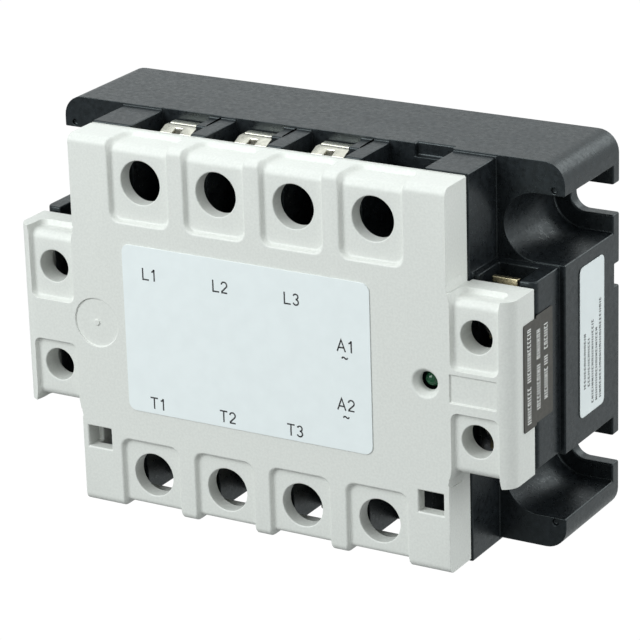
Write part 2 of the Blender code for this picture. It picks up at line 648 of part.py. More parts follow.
def build_control_terminals(parts, helpers):
    screw = screw_mesh("m3_screw", M3_SHANK_RADIUS, M3_HEAD_RADIUS, M3_HEAD_HEIGHT, M3_LENGTH, "nickel",
                       parts, helpers)
    for name, z in CONTROL_Z.items():
        side = 1 if z > 0 else -1
        bar_z = tuple(z + side * value for value in CONTROL_BAR_REACH)
        clamp_z = tuple(z + side * value for value in CONTROL_CLAMP_REACH)
        sides = (CONTROL_X - CONTROL_HALF_WIDTH, CONTROL_X + CONTROL_HALF_WIDTH)
        bar = block(f"control_bar_{name}", sides, CONTROL_BAR_Y, bar_z, parts, "brass")
        tail = new_collection(f"control_tail_{name}", helpers)
        block(f"control_tail_{name}_strip", (CONTROL_TAIL_X, CONTROL_X), CONTROL_BAR_Y,
              (z - CONTROL_TAIL_HALF_HEIGHT, z + CONTROL_TAIL_HALF_HEIGHT), tail)
        boolean(bar, "UNION", tail)
        clamp = block(f"control_clamp_{name}", sides, CONTROL_CLAMP_Y, clamp_z, parts, "brass")
        bore = new_collection(f"control_clearance_{name}", helpers)
        rod(f"control_clearance_{name}_bore", CONTROL_X, z,
            (CONTROL_CLAMP_Y[0] - PAST, CONTROL_BAR_Y[1] + PAST), M3_CLEAR_RADIUS, bore)
        boolean(bar, "DIFFERENCE", bore)
        boolean(clamp, "DIFFERENCE", bore)
        add_object(f"control_screw_{name}", screw, (CONTROL_X, CONTROL_CLAMP_Y[0] - FIT, z), parts, "nickel")


# ---------------------------------------------------------------- inner pieces

def build_power_stage(parts):
    """The base plate, and for each phase a ceramic substrate with its pair of thyristor chips."""
    block("base_plate", (-PLATE_HALF_WIDTH, PLATE_HALF_WIDTH), (-PLATE_THICKNESS, 0.0),
          (-PLATE_HALF_HEIGHT, PLATE_HALF_HEIGHT), parts, "aluminium", rounding=((1, 2.0, everywhere),))
    back = -PLATE_THICKNESS - FIT
    front = back - SUBSTRATE_THICKNESS
    for number, x in enumerate(LIVE_COLUMNS, 1):
        block(f"power_substrate_L{number}", (x - SUBSTRATE_HALF_WIDTH, x + SUBSTRATE_HALF_WIDTH),
              (front, back), (-SUBSTRATE_HALF_HEIGHT, SUBSTRATE_HALF_HEIGHT), parts, "ceramic")
        for direction, z in (("forward", CHIP_Z), ("reverse", -CHIP_Z)):
            block(f"thyristor_L{number}_{direction}", (x - CHIP_SIZE / 2, x + CHIP_SIZE / 2),
                  (front - FIT - CHIP_THICKNESS, front - FIT), (z - CHIP_SIZE / 2, z + CHIP_SIZE / 2), parts,
                  "silicon")


def build_control_board(parts):
    block("control_board", (-BOARD_HALF_WIDTH, BOARD_HALF_WIDTH), BOARD_Y, BOARD_Z, parts, "board_green")
    behind = BOARD_Y[1] + FIT
    for number, x in enumerate(LIVE_COLUMNS, 1):
        block(f"opto_coupler_L{number}", (x - OPTO_HALF_WIDTH, x + OPTO_HALF_WIDTH),
              (behind, behind + OPTO_THICKNESS), OPTO_Z, parts, "component_black",
              rounding=((2, 0.6, lambda middle: middle.y > 0),))
        rod(f"varistor_L{number}", x, VARISTOR_Z, (behind, behind + VARISTOR_THICKNESS), VARISTOR_RADIUS,
            parts, "varistor_blue")
    block("input_rectifier", RECTIFIER_X, (behind, behind + RECTIFIER_THICKNESS), RECTIFIER_Z, parts,
          "component_black")
    capacitor = rod("smoothing_capacitor", 0, 0, (-CAPACITOR_LENGTH / 2, CAPACITOR_LENGTH / 2),
                    CAPACITOR_RADIUS, parts, "component_black")
    x, z = CAPACITOR_PLACE
    capacitor.location = Vector((x, behind + CAPACITOR_RADIUS + 0.1, z)) * MM
    capacitor.rotation_euler = (math.radians(90), 0, 0)

    x, z = LED_PLACE
    half_x, half_z = LED_HALF_SIZE
    led_back = BOARD_Y[0] - FIT
    block("status_led", (x - half_x, x + half_x), (led_back - LED_THICKNESS, led_back),
          (z - half_z, z + half_z), parts, "led_green")
    guide = turned("light_guide", [(0.0, 10.0), (0.75, 9.8), (1.3, 9.2), (1.5, 8.5), (1.5, 0.0), (0.0, 0.0)],
                   parts, "led_green", steps=16)
    guide.location = Vector((x, led_back - LED_THICKNESS - FIT, z)) * MM


def build_labels(parts):
    def label(name, x, y, z, axis, finish):
        block(name, x, y, z, parts, finish, rounding=((axis, LABEL_CORNER, everywhere),))

    front = COVER_FRONT - LABEL_GAP
    label("front_label", FRONT_LABEL_X, (front - LABEL_THICKNESS, front), FRONT_LABEL_Z, 1, "label_white")
    for name, face, y, z, finish in (
        ("side_label", BASE_HALF_WIDTH, SIDE_LABEL_Y, SIDE_LABEL_Z, "label_white"),
        ("seal_cover_half", COVER_WING_HALF_WIDTH, SEAL_COVER_Y, SEAL_Z, "seal_grey"),
        ("seal_housing_half", WING_HALF_WIDTH, SEAL_HOUSING_Y, SEAL_Z, "seal_grey"),
    ):
        low = face + LABEL_GAP
        label(name, (low, low + LABEL_THICKNESS), y, z, 0, finish)


def main():
    clear_scene()
    parts = new_collection("solid_state_relay")
    helpers = new_collection("cutters")
    build_housing(parts, helpers)
    build_cover(parts, helpers)
    build_power_terminals(parts, helpers)
    build_control_terminals(parts, helpers)
    build_power_stage(parts)
    build_control_board(parts)
    build_labels(parts)
    for obj in parts.objects:
        if obj.type == "MESH":
            obj.data.shade_smooth()
            obj.data.set_sharp_from_angle(angle=math.radians(30))


main()
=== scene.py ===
"""The looks of a three-phase solid state relay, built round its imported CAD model.

Sizes are in millimetres unless they say otherwise: X right, Z up, and the front faces -Y.
"""

import json
import math
import random

import bmesh
import bpy
import numpy as np
from mathutils import Matrix, Vector

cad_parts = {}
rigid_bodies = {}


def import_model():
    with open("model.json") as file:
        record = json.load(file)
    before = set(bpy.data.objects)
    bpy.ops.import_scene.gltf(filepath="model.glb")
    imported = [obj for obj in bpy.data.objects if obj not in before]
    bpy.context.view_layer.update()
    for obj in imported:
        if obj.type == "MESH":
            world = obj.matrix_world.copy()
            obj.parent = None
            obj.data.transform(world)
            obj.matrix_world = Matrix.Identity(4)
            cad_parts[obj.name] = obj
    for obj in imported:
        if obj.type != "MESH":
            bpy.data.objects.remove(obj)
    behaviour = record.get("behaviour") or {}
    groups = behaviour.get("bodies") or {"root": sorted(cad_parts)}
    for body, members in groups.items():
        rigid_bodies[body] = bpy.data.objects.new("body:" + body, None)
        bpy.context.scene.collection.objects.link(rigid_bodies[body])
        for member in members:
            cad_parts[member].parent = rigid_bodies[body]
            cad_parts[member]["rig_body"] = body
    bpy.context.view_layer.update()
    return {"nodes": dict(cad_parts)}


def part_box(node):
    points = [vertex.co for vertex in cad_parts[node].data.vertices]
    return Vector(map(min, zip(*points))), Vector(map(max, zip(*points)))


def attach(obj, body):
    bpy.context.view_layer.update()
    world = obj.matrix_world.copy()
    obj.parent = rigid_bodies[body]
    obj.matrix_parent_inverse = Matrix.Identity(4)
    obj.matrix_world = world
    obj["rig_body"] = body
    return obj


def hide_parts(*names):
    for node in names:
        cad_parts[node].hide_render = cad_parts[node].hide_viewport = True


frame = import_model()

MM = 0.001
PAST = 1.0               # how far a cutter runs past the face it opens
NEAR_ALONG_LOOP = 2.0    # edges nearer than this along a face's outline aren't compared
SHARE_OF_ROOM = 0.45     # how much of the room between two edges one rounding may take
LEAST_ROUNDING = 0.02
CARRIES_ON = 0.9         # the least cosine between edges that make one line


def box_mm(node):
    """The lowest and highest corners of a CAD node, in millimetres."""
    low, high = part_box(node)
    return low / MM, high / MM


def middle_mm(node):
    low, high = box_mm(node)
    return (low + high) / 2


# ---------------------------------------------------------------- sizes read from the frame

HOUSING_LOW, HOUSING_HIGH = box_mm("housing")
COVER_LOW, COVER_HIGH = box_mm("terminal_cover")
SCREW_PLACES = {tag: middle_mm(f"clamp_screw_{tag}") for tag in ("L1", "L2", "L3", "T1", "T2", "T3")}
CONTROL_PLACES = {tag: middle_mm(f"control_screw_{tag}") for tag in ("A1", "A2")}
PITCH = SCREW_PLACES["L2"].x - SCREW_PLACES["L1"].x
LIVE_COLUMNS = [SCREW_PLACES[f"L{number}"].x for number in (1, 2, 3)]
COLUMNS = LIVE_COLUMNS + [LIVE_COLUMNS[2] + PITCH]
ROWS = {"top": (SCREW_PLACES["L1"].z, 1), "bottom": (SCREW_PLACES["T1"].z, -1)}
CONTROL_X = CONTROL_PLACES["A1"].x
CONTROL_ROWS = {"top": (CONTROL_PLACES["A1"].z, 1), "bottom": (CONTROL_PLACES["A2"].z, -1)}
LED_PLACE = middle_mm("light_guide")
SIDES = {"right": 1, "left": -1}

BASE_X = HOUSING_HIGH.x
BASE_TOP = HOUSING_HIGH.z
BASE_BACK = HOUSING_HIGH.y
BLOCK_BOTTOM = HOUSING_LOW.z
BLOCK_FRONT = HOUSING_LOW.y
COVER_FRONT = COVER_LOW.y
COVER_WING_X = COVER_HIGH.x
COVER_TOP = COVER_HIGH.z
COVER_BOTTOM = COVER_LOW.z

# ---------------------------------------------------------------- housing sizes, as in the CAD model

HOUSING_SOFTENING = 0.35
BASE_FRONT = -22.2
BASE_CORNER = 4.0
BLOCK_X = 38.3
BLOCK_TOP = 35.5
WING_X = 50.4
WING_Z = 17.3
WING_FRONT = -31.6
CAVITY_X = 36.5
CAVITY_STEP = -19.5
CAVITY_TALL_Z = 31.5
CAVITY_Z = (-17.0, 16.0)
CAVITY_FRONT = -30.4
EAR_X = 46.0
EAR_Z = 23.8
EAR_STEPS = 28
EAR_SLOT = 2.8
EAR_POCKET = 6.2
EAR_FLOOR = -2.8
KEY_NOTCH_Z = (7.4, 11.6)
KEY_NOTCH_DEPTH = 1.9
DIMPLE_PLACE = (49.4, 30.9)
DIMPLE_RADIUS = 0.55
DIMPLE_DEPTH = 0.6
CHAMBER_X = 6.3
CHAMBER_BACK = -22.0
CHAMBER_DEPTH = 9.0
CHAMBER_BORE = 3.0
BAR_SLOT_X = 3.7
BAR_SLOT_Y = (-24.6, -22.1)
BLANK_NOTCH_X = (-1.3, 6.1)
BLANK_NOTCH_Z = 33.5
BLANK_NOTCH_FLOOR = -20.9
RIB_X = 3.8
RIB_FRONT = -27.0
RIB_START = 4.0
RIB_DROP = 0.2
CONTROL_CHAMBER_X = (39.7, 47.3)
CONTROL_CHAMBER_BACK = -24.0
CONTROL_CHAMBER_DEPTH = 5.5
CONTROL_BORE = 1.75
CONTROL_BORE_DEPTH = 3.4
TAIL_SLOT_Y = (-29.5, -27.9)
TAIL_SLOT_Z = 1.8
WING_ROUND = 1.5
FIT = 0.6                # clearance round a hook's tip
PEG_FIT = 0.3
PLATE_X = 38.3
PLATE_Z = 33.8
PLATE_FLOOR = -3.3

# ---------------------------------------------------------------- cover sizes, as in the CAD model

COVER_SOFTENING = 0.3
COVER_X = 38.25
COVER_REAR = -33.1
COVER_LIP_REAR = -32.8
COVER_WING_Z = (-17.7, 16.5)
COVER_WING_REAR = -32.0
COVER_WING_ROUND = 3.0
COVER_EDGE_ROUND = 1.5
COVER_WALL = 2.0
COVER_INNER_FRONT = -38.5
PAD_DEPTH = 1.0
PAD_X = 5.9
PAD_CORNER = 1.8
PAD_EDGE_ROUND = {"top": 1.6, "bottom": 1.0}
PAD_FLARE = 0.35          # how much the pad walls lean outwards, for each millimetre of depth
PAD_WRAP = 6.6
PAD_REACH = {"top": 7.3, "bottom": 6.3}
WING_PAD_X = (39.1, 47.7)
WING_PAD_Z = {"top": 3.1, "bottom": -5.4}
WING_PAD_WRAP = 4.6
WING_PAD_CORNER = 1.3
WING_PAD_EDGE_ROUND = 1.6
WING_PANEL_X = (38.6, 47.6)
WING_PANEL_Z = (-3.3, 1.9)
WING_PANEL_DEPTH = 0.35
POWER_HOLE = 4.1
POWER_TUBE = 5.5
POWER_TUBE_END = -37.0
CONTROL_HOLE = 3.05
CONTROL_TUBE = 4.3
CONTROL_TUBE_END = -35.8
RIM_CHAMFER = 0.13
LED_HOLE = 1.8
LED_SINK = 2.6
LED_SINK_DEPTH = 1.2
WINDOW_X = (32.1, 37.1)
WINDOW_Z = (-24.8, -20.7)
HOOK_X = (32.7, 36.5)
HOOK_Z = (-20.3, -19.0)
HOOK_TIP = -27.6
PEG_PLACE = (34.3, 28.0)
PEG_RADIUS = 1.5
PEG_TIP = -29.5
GATE_PLACE = (-34.0, -0.1)
GATE_RADIUS = 4.65
GATE_DEPTH = 0.32
GATE_NUB_RADIUS = 0.55

ROUND_STEPS = 72

# ---------------------------------------------------------------- camera and light

CAMERA_AZIMUTH = 30.617
CAMERA_ELEVATION = 20.036
CAMERA_ROLL = -1.725
CAMERA_DISTANCE = 596.44
CAMERA_TARGET = (0.824, -20.0, -1.008)
LENS = 184.17            # on a 36 mm sensor
ROOM_BELOW = 0.22
ROOM_ABOVE = 0.45
ROOM_BEHIND = 0.40
OVERHEAD_POWER = 1.2
FRONT_POWER = 6.3
RIGHT_POWER = 2.1
BACK_POWER = 1.0
LIGHT_COLOUR = (0.955, 1.0, 1.0)
LIGHT_AIM = (0.0, -0.02, 0.0)
SOFTBOXES = (             # name, place and size in metres, power
    ("overhead", (0.0, 0.12, 0.60), 0.7, OVERHEAD_POWER),
    ("front_left", (-0.35, -0.70, 0.45), 0.6, FRONT_POWER),
    ("right", (0.75, 0.06, 0.20), 0.5, RIGHT_POWER),
    ("back", (0.32, 0.75, 0.45), 0.45, BACK_POWER),
)
FLOOR_GAP = 0.05
FLOOR_HALF = 6.0         # metres
FLOOR_GLOW = 1.02


# ---------------------------------------------------------------- mesh helpers

WORK = bpy.data.collections.new("work")
bpy.context.scene.collection.children.link(WORK)


def new_object(name, bm, collection=WORK):
    mesh = bpy.data.meshes.new(name)
    bm.to_mesh(mesh)
    bm.free()
    obj = bpy.data.objects.new(name, mesh)
    collection.objects.link(obj)
    return obj


def edges_along(bm, axis, chosen):
    """The straight edges along an axis whose middle, in millimetres, passes the test."""
    found = []
    for edge in bm.edges:
        run = edge.verts[1].co - edge.verts[0].co
        middle = (edge.verts[0].co + edge.verts[1].co) / 2 / MM
        if abs(run[axis]) > 0.99 * run.length and chosen(middle):
            found.append(edge)
    return found


def round_edges(bm, edges, radius, segments=8):
    bmesh.ops.bevel(bm, geom=edges, offset=radius * MM, offset_type="OFFSET", segments=segments, profile=0.5,
                    affect="EDGES", clamp_overlap=True)


def block(name, x, y, z, rounding=(), collection=WORK):
    """A box between low and high x, y and z. Each rounding is (axis, radius, test of an edge's middle)."""
    low = Vector((min(x), min(y), min(z)))
    high = Vector((max(x), max(y), max(z)))
    bm = bmesh.new()
    bmesh.ops.create_cube(bm, size=1.0)
    bmesh.ops.scale(bm, vec=(high - low) * MM, verts=bm.verts)
    bmesh.ops.translate(bm, vec=(low + high) / 2 * MM, verts=bm.verts)
    for axis, radius, chosen in rounding:
        round_edges(bm, edges_along(bm, axis, chosen), radius)
    return new_object(name, bm, collection)


def everywhere(middle):
    return True


def in_front(middle):
    return middle.y < COVER_FRONT + PAST / 2


def rod(name, x, z, y, radius, collection=WORK, steps=ROUND_STEPS):
    """A cylinder along Y between two depths."""
    back, front = max(y), min(y)
    bm = bmesh.new()
    bmesh.ops.create_cone(bm, cap_ends=True, segments=steps, radius1=radius * MM, radius2=radius * MM,
                          depth=(back - front) * MM)
    bmesh.ops.rotate(bm, cent=(0, 0, 0), matrix=Matrix.Rotation(math.radians(90), 3, "X"), verts=bm.verts)
    bmesh.ops.translate(bm, vec=Vector((x, (back + front) / 2, z)) * MM, verts=bm.verts)
    return new_object(name, bm, collection)


def outlined(name, outline, y, collection, rounding=()):
    """A closed XZ outline given depth along Y. Each rounding is as for a block."""
    bm = bmesh.new()
    face = bm.faces.new([bm.verts.new((x * MM, min(y) * MM, z * MM)) for x, z in outline])
    grown = bmesh.ops.extrude_face_region(bm, geom=[face])
    moved = [item for item in grown["geom"] if isinstance(item, bmesh.types.BMVert)]
    bmesh.ops.translate(bm, vec=(0, (max(y) - min(y)) * MM, 0), verts=moved)
    bmesh.ops.recalc_face_normals(bm, faces=bm.faces)
    for axis, radius, chosen in rounding:
        round_edges(bm, edges_along(bm, axis, chosen), radius)
    return new_object(name, bm, collection)


def turned(name, profile, x, z, collection, steps=ROUND_STEPS):
    """A solid turned about an axis along Y. The profile holds (radius, y) from front to back."""
    bm = bmesh.new()
    rings = []
    for radius, y in profile:
        ring = []
        for step in range(steps):
            angle = 2 * math.pi * step / steps
            place = Vector((x + radius * math.cos(angle), y, z + radius * math.sin(angle)))
            ring.append(bm.verts.new(place * MM))
        rings.append(ring)
    for near, far in zip(rings, rings[1:]):
        for step in range(steps):
            after = (step + 1) % steps
            bm.faces.new((near[step], near[after], far[after], far[step]))
    bm.faces.new(rings[0])
    bm.faces.new(rings[-1])
    bmesh.ops.recalc_face_normals(bm, faces=bm.faces)
    return new_object(name, bm, collection)


def arc(centre, radius, start, end, steps=8):
    """Points on an arc, with the angles in degrees."""
    points = []
    for step in range(steps + 1):
        angle = math.radians(start + (end - start) * step / steps)
        points.append((centre[0] + radius * math.cos(angle), centre[1] + radius * math.sin(angle)))
    return points


def helper_collection(name):
    collection = bpy.data.collections.new(name)
    WORK.children.link(collection)
    return collection


def boolean(obj, operation, collection):
    modifier = obj.modifiers.new(collection.name, "BOOLEAN")
    modifier.operation = operation
    modifier.operand_type = "COLLECTION"
    modifier.collection = collection
    modifier.solver = "EXACT"


def bake(obj):
    """Applies an object's modifiers."""
    bpy.context.view_layer.update()
    graph = bpy.context.evaluated_depsgraph_get()
    mesh = bpy.data.meshes.new_from_object(obj.evaluated_get(graph))
    obj.modifiers.clear()
    obj.data = mesh


def clean(obj, merge=0.06):
    """Merges stray points and straightens the flat faces that a Boolean leaves."""
    bm = bmesh.new()
    bm.from_mesh(obj.data)
    bmesh.ops.remove_doubles(bm, verts=bm.verts, dist=merge * MM)
    bmesh.ops.dissolve_limit(bm, angle_limit=math.radians(0.5), use_dissolve_boundaries=False, verts=bm.verts,
                             edges=bm.edges, delimit=set())
    bm.to_mesh(obj.data)
    bm.free()


def room_across_faces(bm, sharp, limits):
    """Lowers the limit of sharp edges that run close to another across a face."""
    for face in bm.faces:
        loops = list(face.loops)
        chosen = [index for index, loop in enumerate(loops) if loop.edge in sharp]
        if len(chosen) < 2:
            continue
        starts = np.array([loop.vert.co for loop in loops], float)
        ends = np.roll(starts, -1, axis=0)
        lengths = np.linalg.norm(ends - starts, axis=1)
        reached = np.cumsum(lengths)
        total = reached[-1]
        chosen = np.array(chosen)
        for index in chosen:
            others = chosen[chosen != index]
            first, last = np.minimum(others, index), np.maximum(others, index)
            between = reached[last] - lengths[last] - reached[first]
            around = total - reached[last] + reached[first] - lengths[first]
            others = others[np.minimum(between, around) > NEAR_ALONG_LOOP * MM]
            if not len(others):
                continue
            nearest = min(gap(starts[index], starts[others], ends[others]),
                          gap(ends[index], starts[others], ends[others]),
                          gap((starts[index] + ends[index]) / 2, starts[others], ends[others]))
            edge = loops[index].edge
            limits[edge] = min(limits[edge], SHARE_OF_ROOM * nearest)


def carries_on(edge, other, vert):
    """Whether two edges that share a vertex make one nearly straight or gently curved line."""
    here = (vert.co - edge.other_vert(vert).co).normalized()
    there = (other.other_vert(vert).co - vert.co).normalized()
    return here.dot(there) > CARRIES_ON


def even_out_runs(sharp, limits):
    """Gives each run of edges that carry on into one another the least limit among them."""
    left = set(sharp)
    while left:
        run = [left.pop()]
        for edge in run:
            for vert in edge.verts:
                for other in vert.link_edges:
                    if other in left and carries_on(edge, other, vert):
                        left.discard(other)
                        run.append(other)
        least = min(limits[edge] for edge in run)
        for edge in run:
            limits[edge] = least


def gap(point, starts, ends):
    """The distance from a point to the nearest of several segments."""
    runs = ends - starts
    along = ((point - starts) * runs).sum(1) / np.maximum((runs * runs).sum(1), 1e-18)
    nearest = starts + runs * np.clip(along, 0, 1)[:, None]
    return float(np.linalg.norm(nearest - point, axis=1).min())


def soften(obj, width, segments=3, angle=32):
    """Rounds every sharp edge by the given width, or by as much as its neighbours leave room for."""
    bm = bmesh.new()
    bm.from_mesh(obj.data)
    layer = bm.edges.layers.float.new("bevel_weight_edge")
    sharp = {edge for edge in bm.edges
             if len(edge.link_faces) == 2 and edge.calc_face_angle(0.0) > math.radians(angle)}
    limits = {edge: width * MM for edge in sharp}
    for edge in sharp:
        for vert in edge.verts:
            for other in vert.link_edges:
                if other is not edge and not (other in sharp and carries_on(edge, other, vert)):
                    limits[edge] = min(limits[edge], SHARE_OF_ROOM * other.calc_length())
    room_across_faces(bm, sharp, limits)
    even_out_runs(sharp, limits)
    for edge in bm.edges:
        edge.smooth = True
    for edge, limit in limits.items():
        if limit < LEAST_ROUNDING * MM:
            edge.smooth = False
        else:
            edge[layer] = limit / (width * MM)
    for face in bm.faces:
        face.smooth = True
    bm.to_mesh(obj.data)
    bm.free()
    modifier = obj.modifiers.new("soften", "BEVEL")
    modifier.width = width * MM
    modifier.segments = segments
    modifier.limit_method = "WEIGHT"
    modifier.use_clamp_overlap = False
    modifier.loop_slide = False
    modifier.harden_normals = True
    bake(obj)


def finish_piece(obj, name, body, material, nodes=()):
    """Gives a finished mesh its name, material and body."""
    for collection in list(obj.users_collection):
        collection.objects.unlink(obj)
    bpy.context.scene.collection.objects.link(obj)
    obj.name = name
    obj.data.materials.clear()
    obj.data.materials.append(material)
    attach(obj, body)
    if nodes:
        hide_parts(*nodes)
    return obj


# ---------------------------------------------------------------- material helpers

def new_material(name, colour, roughness, metallic=0.0):
    material = bpy.data.materials.new(name)
    material.use_nodes = True
    shader = material.node_tree.nodes["Principled BSDF"]
    shader.inputs["Base Color"].default_value = (*colour, 1.0)
    shader.inputs["Roughness"].default_value = roughness
    shader.inputs["Metallic"].default_value = metallic
    return material, shader


def add_node(material, kind, **settings):
    node = material.node_tree.nodes.new(kind)
    for name, value in settings.items():
        setattr(node, name, value)
    return node


def link(material, output, target):
    material.node_tree.links.new(output, target)


def noise(material, size, detail=2.0, stretch=(1, 1, 1), distortion=0.0):
    """Noise whose features are about size millimetres. Stretch lengthens them along an axis."""
    place = add_node(material, "ShaderNodeTexCoord")
    mapping = add_node(material, "ShaderNodeMapping")
    mapping.inputs["Scale"].default_value = [1 / (size * MM * factor) for factor in stretch]
    texture = add_node(material, "ShaderNodeTexNoise")
    texture.inputs["Scale"].default_value = 1.0
    texture.inputs["Detail"].default_value = detail
    texture.inputs["Distortion"].default_value = distortion
    link(material, place.outputs["Object"], mapping.inputs["Vector"])
    link(material, mapping.outputs["Vector"], texture.inputs["Vector"])
    return texture.outputs["Fac"]


def vary_colour(material, shader, fac, dark, light, low=0.35, high=0.65):
    """Drives the base colour between two colours by a noise value."""
    ramp = add_node(material, "ShaderNodeValToRGB")
    ramp.color_ramp.elements[0].position = low
    ramp.color_ramp.elements[0].color = (*dark, 1.0)
    ramp.color_ramp.elements[1].position = high
    ramp.color_ramp.elements[1].color = (*light, 1.0)
    link(material, fac, ramp.inputs["Fac"])
    link(material, ramp.outputs["Color"], shader.inputs["Base Color"])


def vary_roughness(material, shader, fac, low, high):
    span = add_node(material, "ShaderNodeMapRange")
    span.inputs["From Min"].default_value = 0.3
    span.inputs["From Max"].default_value = 0.7
    span.inputs["To Min"].default_value = low
    span.inputs["To Max"].default_value = high
    link(material, fac, span.inputs["Value"])
    link(material, span.outputs["Result"], shader.inputs["Roughness"])


def add_bump(material, shader, fac, height, strength=1.0, under=None):
    """A bump of the given height in millimetres, on top of another bump if there is one."""
    bump = add_node(material, "ShaderNodeBump")
    bump.inputs["Distance"].default_value = height * MM
    bump.inputs["Strength"].default_value = strength
    link(material, fac, bump.inputs["Height"])
    if under:
        link(material, under.outputs["Normal"], bump.inputs["Normal"])
    link(material, bump.outputs["Normal"], shader.inputs["Normal"])
    return bump


def tinted(colour, factor):
    return tuple(min(1.0, channel * factor) for channel in colour)


def black_plastic():
    """Glass-filled black moulding: fine grain under a cloudy sheen."""
    colour = (0.0095, 0.0115, 0.0135)
    material, shader = new_material("black_plastic", colour, 0.33)
    shader.inputs["Specular Tint"].default_value = (0.86, 0.97, 1.0, 1.0)
    vary_colour(material, shader, noise(material, 1.1, 4.0), tinted(colour, 0.7), tinted(colour, 1.5))
    vary_roughness(material, shader, noise(material, 0.7, 4.0), 0.24, 0.42)
    wide = add_bump(material, shader, noise(material, 0.9, 3.0), 0.008)
    add_bump(material, shader, noise(material, 0.25, 2.0), 0.015, under=wide)
    return material


def grey_plastic():
    colour = (0.757, 0.768, 0.736)
    material, shader = new_material("grey_plastic", colour, 0.5)
    vary_colour(material, shader, noise(material, 0.45, 3.0), tinted(colour, 0.965), tinted(colour, 1.03))
    vary_roughness(material, shader, noise(material, 0.6, 2.0), 0.42, 0.56)
    wide = add_bump(material, shader, noise(material, 1.2, 2.0), 0.004)
    add_bump(material, shader, noise(material, 0.28, 2.0), 0.010, under=wide)
    return material


def nickel(name="nickel", colour=(0.70, 0.68, 0.60)):
    material, shader = new_material(name, colour, 0.3, 1.0)
    vary_colour(material, shader, noise(material, 0.8, 4.0), tinted(colour, 0.82), tinted(colour, 1.05))
    vary_roughness(material, shader, noise(material, 0.4, 3.0), 0.22, 0.42)
    add_bump(material, shader, noise(material, 0.12, 2.0, stretch=(6, 1, 1)), 0.004)
    return material


def brushed_aluminium():
    colour = (0.80, 0.81, 0.82)
    material, shader = new_material("brushed_aluminium", colour, 0.35, 1.0)
    vary_colour(material, shader, noise(material, 0.5, 3.0, stretch=(30, 1, 1)), tinted(colour, 0.9), colour)
    vary_roughness(material, shader, noise(material, 0.25, 3.0, stretch=(40, 1, 1)), 0.24, 0.45)
    add_bump(material, shader, noise(material, 0.12, 3.0, stretch=(60, 1, 1)), 0.004)
    return material


def satin_film():
    colour = (0.860, 0.912, 0.920)
    material, shader = new_material("satin_film", colour, 0.42)
    vary_colour(material, shader, noise(material, 3.0, 3.0), tinted(colour, 0.985), tinted(colour, 1.01))
    vary_roughness(material, shader, noise(material, 1.0, 2.0), 0.36, 0.48)
    add_bump(material, shader, noise(material, 0.5, 2.0), 0.002)
    return material


def seal_film():
    colour = (0.060, 0.055, 0.046)
    material, shader = new_material("seal_film", colour, 0.45)
    vary_colour(material, shader, noise(material, 0.7, 4.0), tinted(colour, 0.85), tinted(colour, 1.2))
    add_bump(material, shader, noise(material, 1.4, 2.0), 0.006)
    return material


def ink(name, colour):
    material, shader = new_material(name, colour, 0.5)
    vary_colour(material, shader, noise(material, 0.3, 2.0), tinted(colour, 0.9), tinted(colour, 1.1))
    return material


def speckled(name, colour, roughness, size, contrast=0.15, height=0.004):
    """An even material with a little grain, for the inner pieces."""
    material, shader = new_material(name, colour, roughness)
    fac = noise(material, size, 3.0)
    vary_colour(material, shader, fac, tinted(colour, 1 - contrast), tinted(colour, 1 + contrast))
    add_bump(material, shader, fac, height)
    return material


def circuit_board():
    """Green solder mask with paler copper tracks under it."""
    colour = (0.012, 0.13, 0.05)
    material, shader = new_material("circuit_board", colour, 0.35)
    place = add_node(material, "ShaderNodeTexCoord")
    brick = add_node(material, "ShaderNodeTexBrick")
    brick.inputs["Scale"].default_value = 1 / (6.0 * MM)
    brick.inputs["Mortar Size"].default_value = 0.04
    brick.inputs["Color1"].default_value = (*colour, 1.0)
    brick.inputs["Color2"].default_value = (*tinted(colour, 1.25), 1.0)
    brick.inputs["Mortar"].default_value = (*tinted(colour, 2.0), 1.0)
    turn = add_node(material, "ShaderNodeMapping")
    turn.inputs["Rotation"].default_value = (math.radians(90), 0, 0)
    link(material, place.outputs["Object"], turn.inputs["Vector"])
    link(material, turn.outputs["Vector"], brick.inputs["Vector"])
    link(material, brick.outputs["Color"], shader.inputs["Base Color"])
    add_bump(material, shader, brick.outputs["Fac"], 0.03)
    shader.inputs["Coat Weight"].default_value = 0.3
    return material


def lamp_plastic():
    colour = (0.012, 0.085, 0.035)
    material, shader = new_material("lamp_plastic", colour, 0.12)
    vary_colour(material, shader, noise(material, 0.6, 2.0), tinted(colour, 0.7), tinted(colour, 1.3))
    shader.inputs["Transmission Weight"].default_value = 0.25
    shader.inputs["IOR"].default_value = 1.5
    return material


MATERIALS = {
    "black": black_plastic(),
    "grey": grey_plastic(),
    "nickel": nickel(),
    "brass": nickel("plated_brass", (0.72, 0.63, 0.42)),
    "aluminium": brushed_aluminium(),
    "film": satin_film(),
    "seal": seal_film(),
    "dark_ink": ink("dark_ink", (0.035, 0.035, 0.038)),
    "pale_ink": ink("pale_ink", (0.80, 0.80, 0.78)),
    "ceramic": speckled("ceramic", (0.80, 0.79, 0.74), 0.55, 0.4),
    "silicon": speckled("silicon", (0.10, 0.11, 0.14), 0.2, 0.8, 0.08, 0.001),
    "component": speckled("component", (0.022, 0.022, 0.024), 0.5, 0.3),
    "varistor": speckled("varistor", (0.03, 0.10, 0.30), 0.35, 0.9, 0.12, 0.02),
    "board": circuit_board(),
    "lamp": lamp_plastic(),
}


# ---------------------------------------------------------------- housing

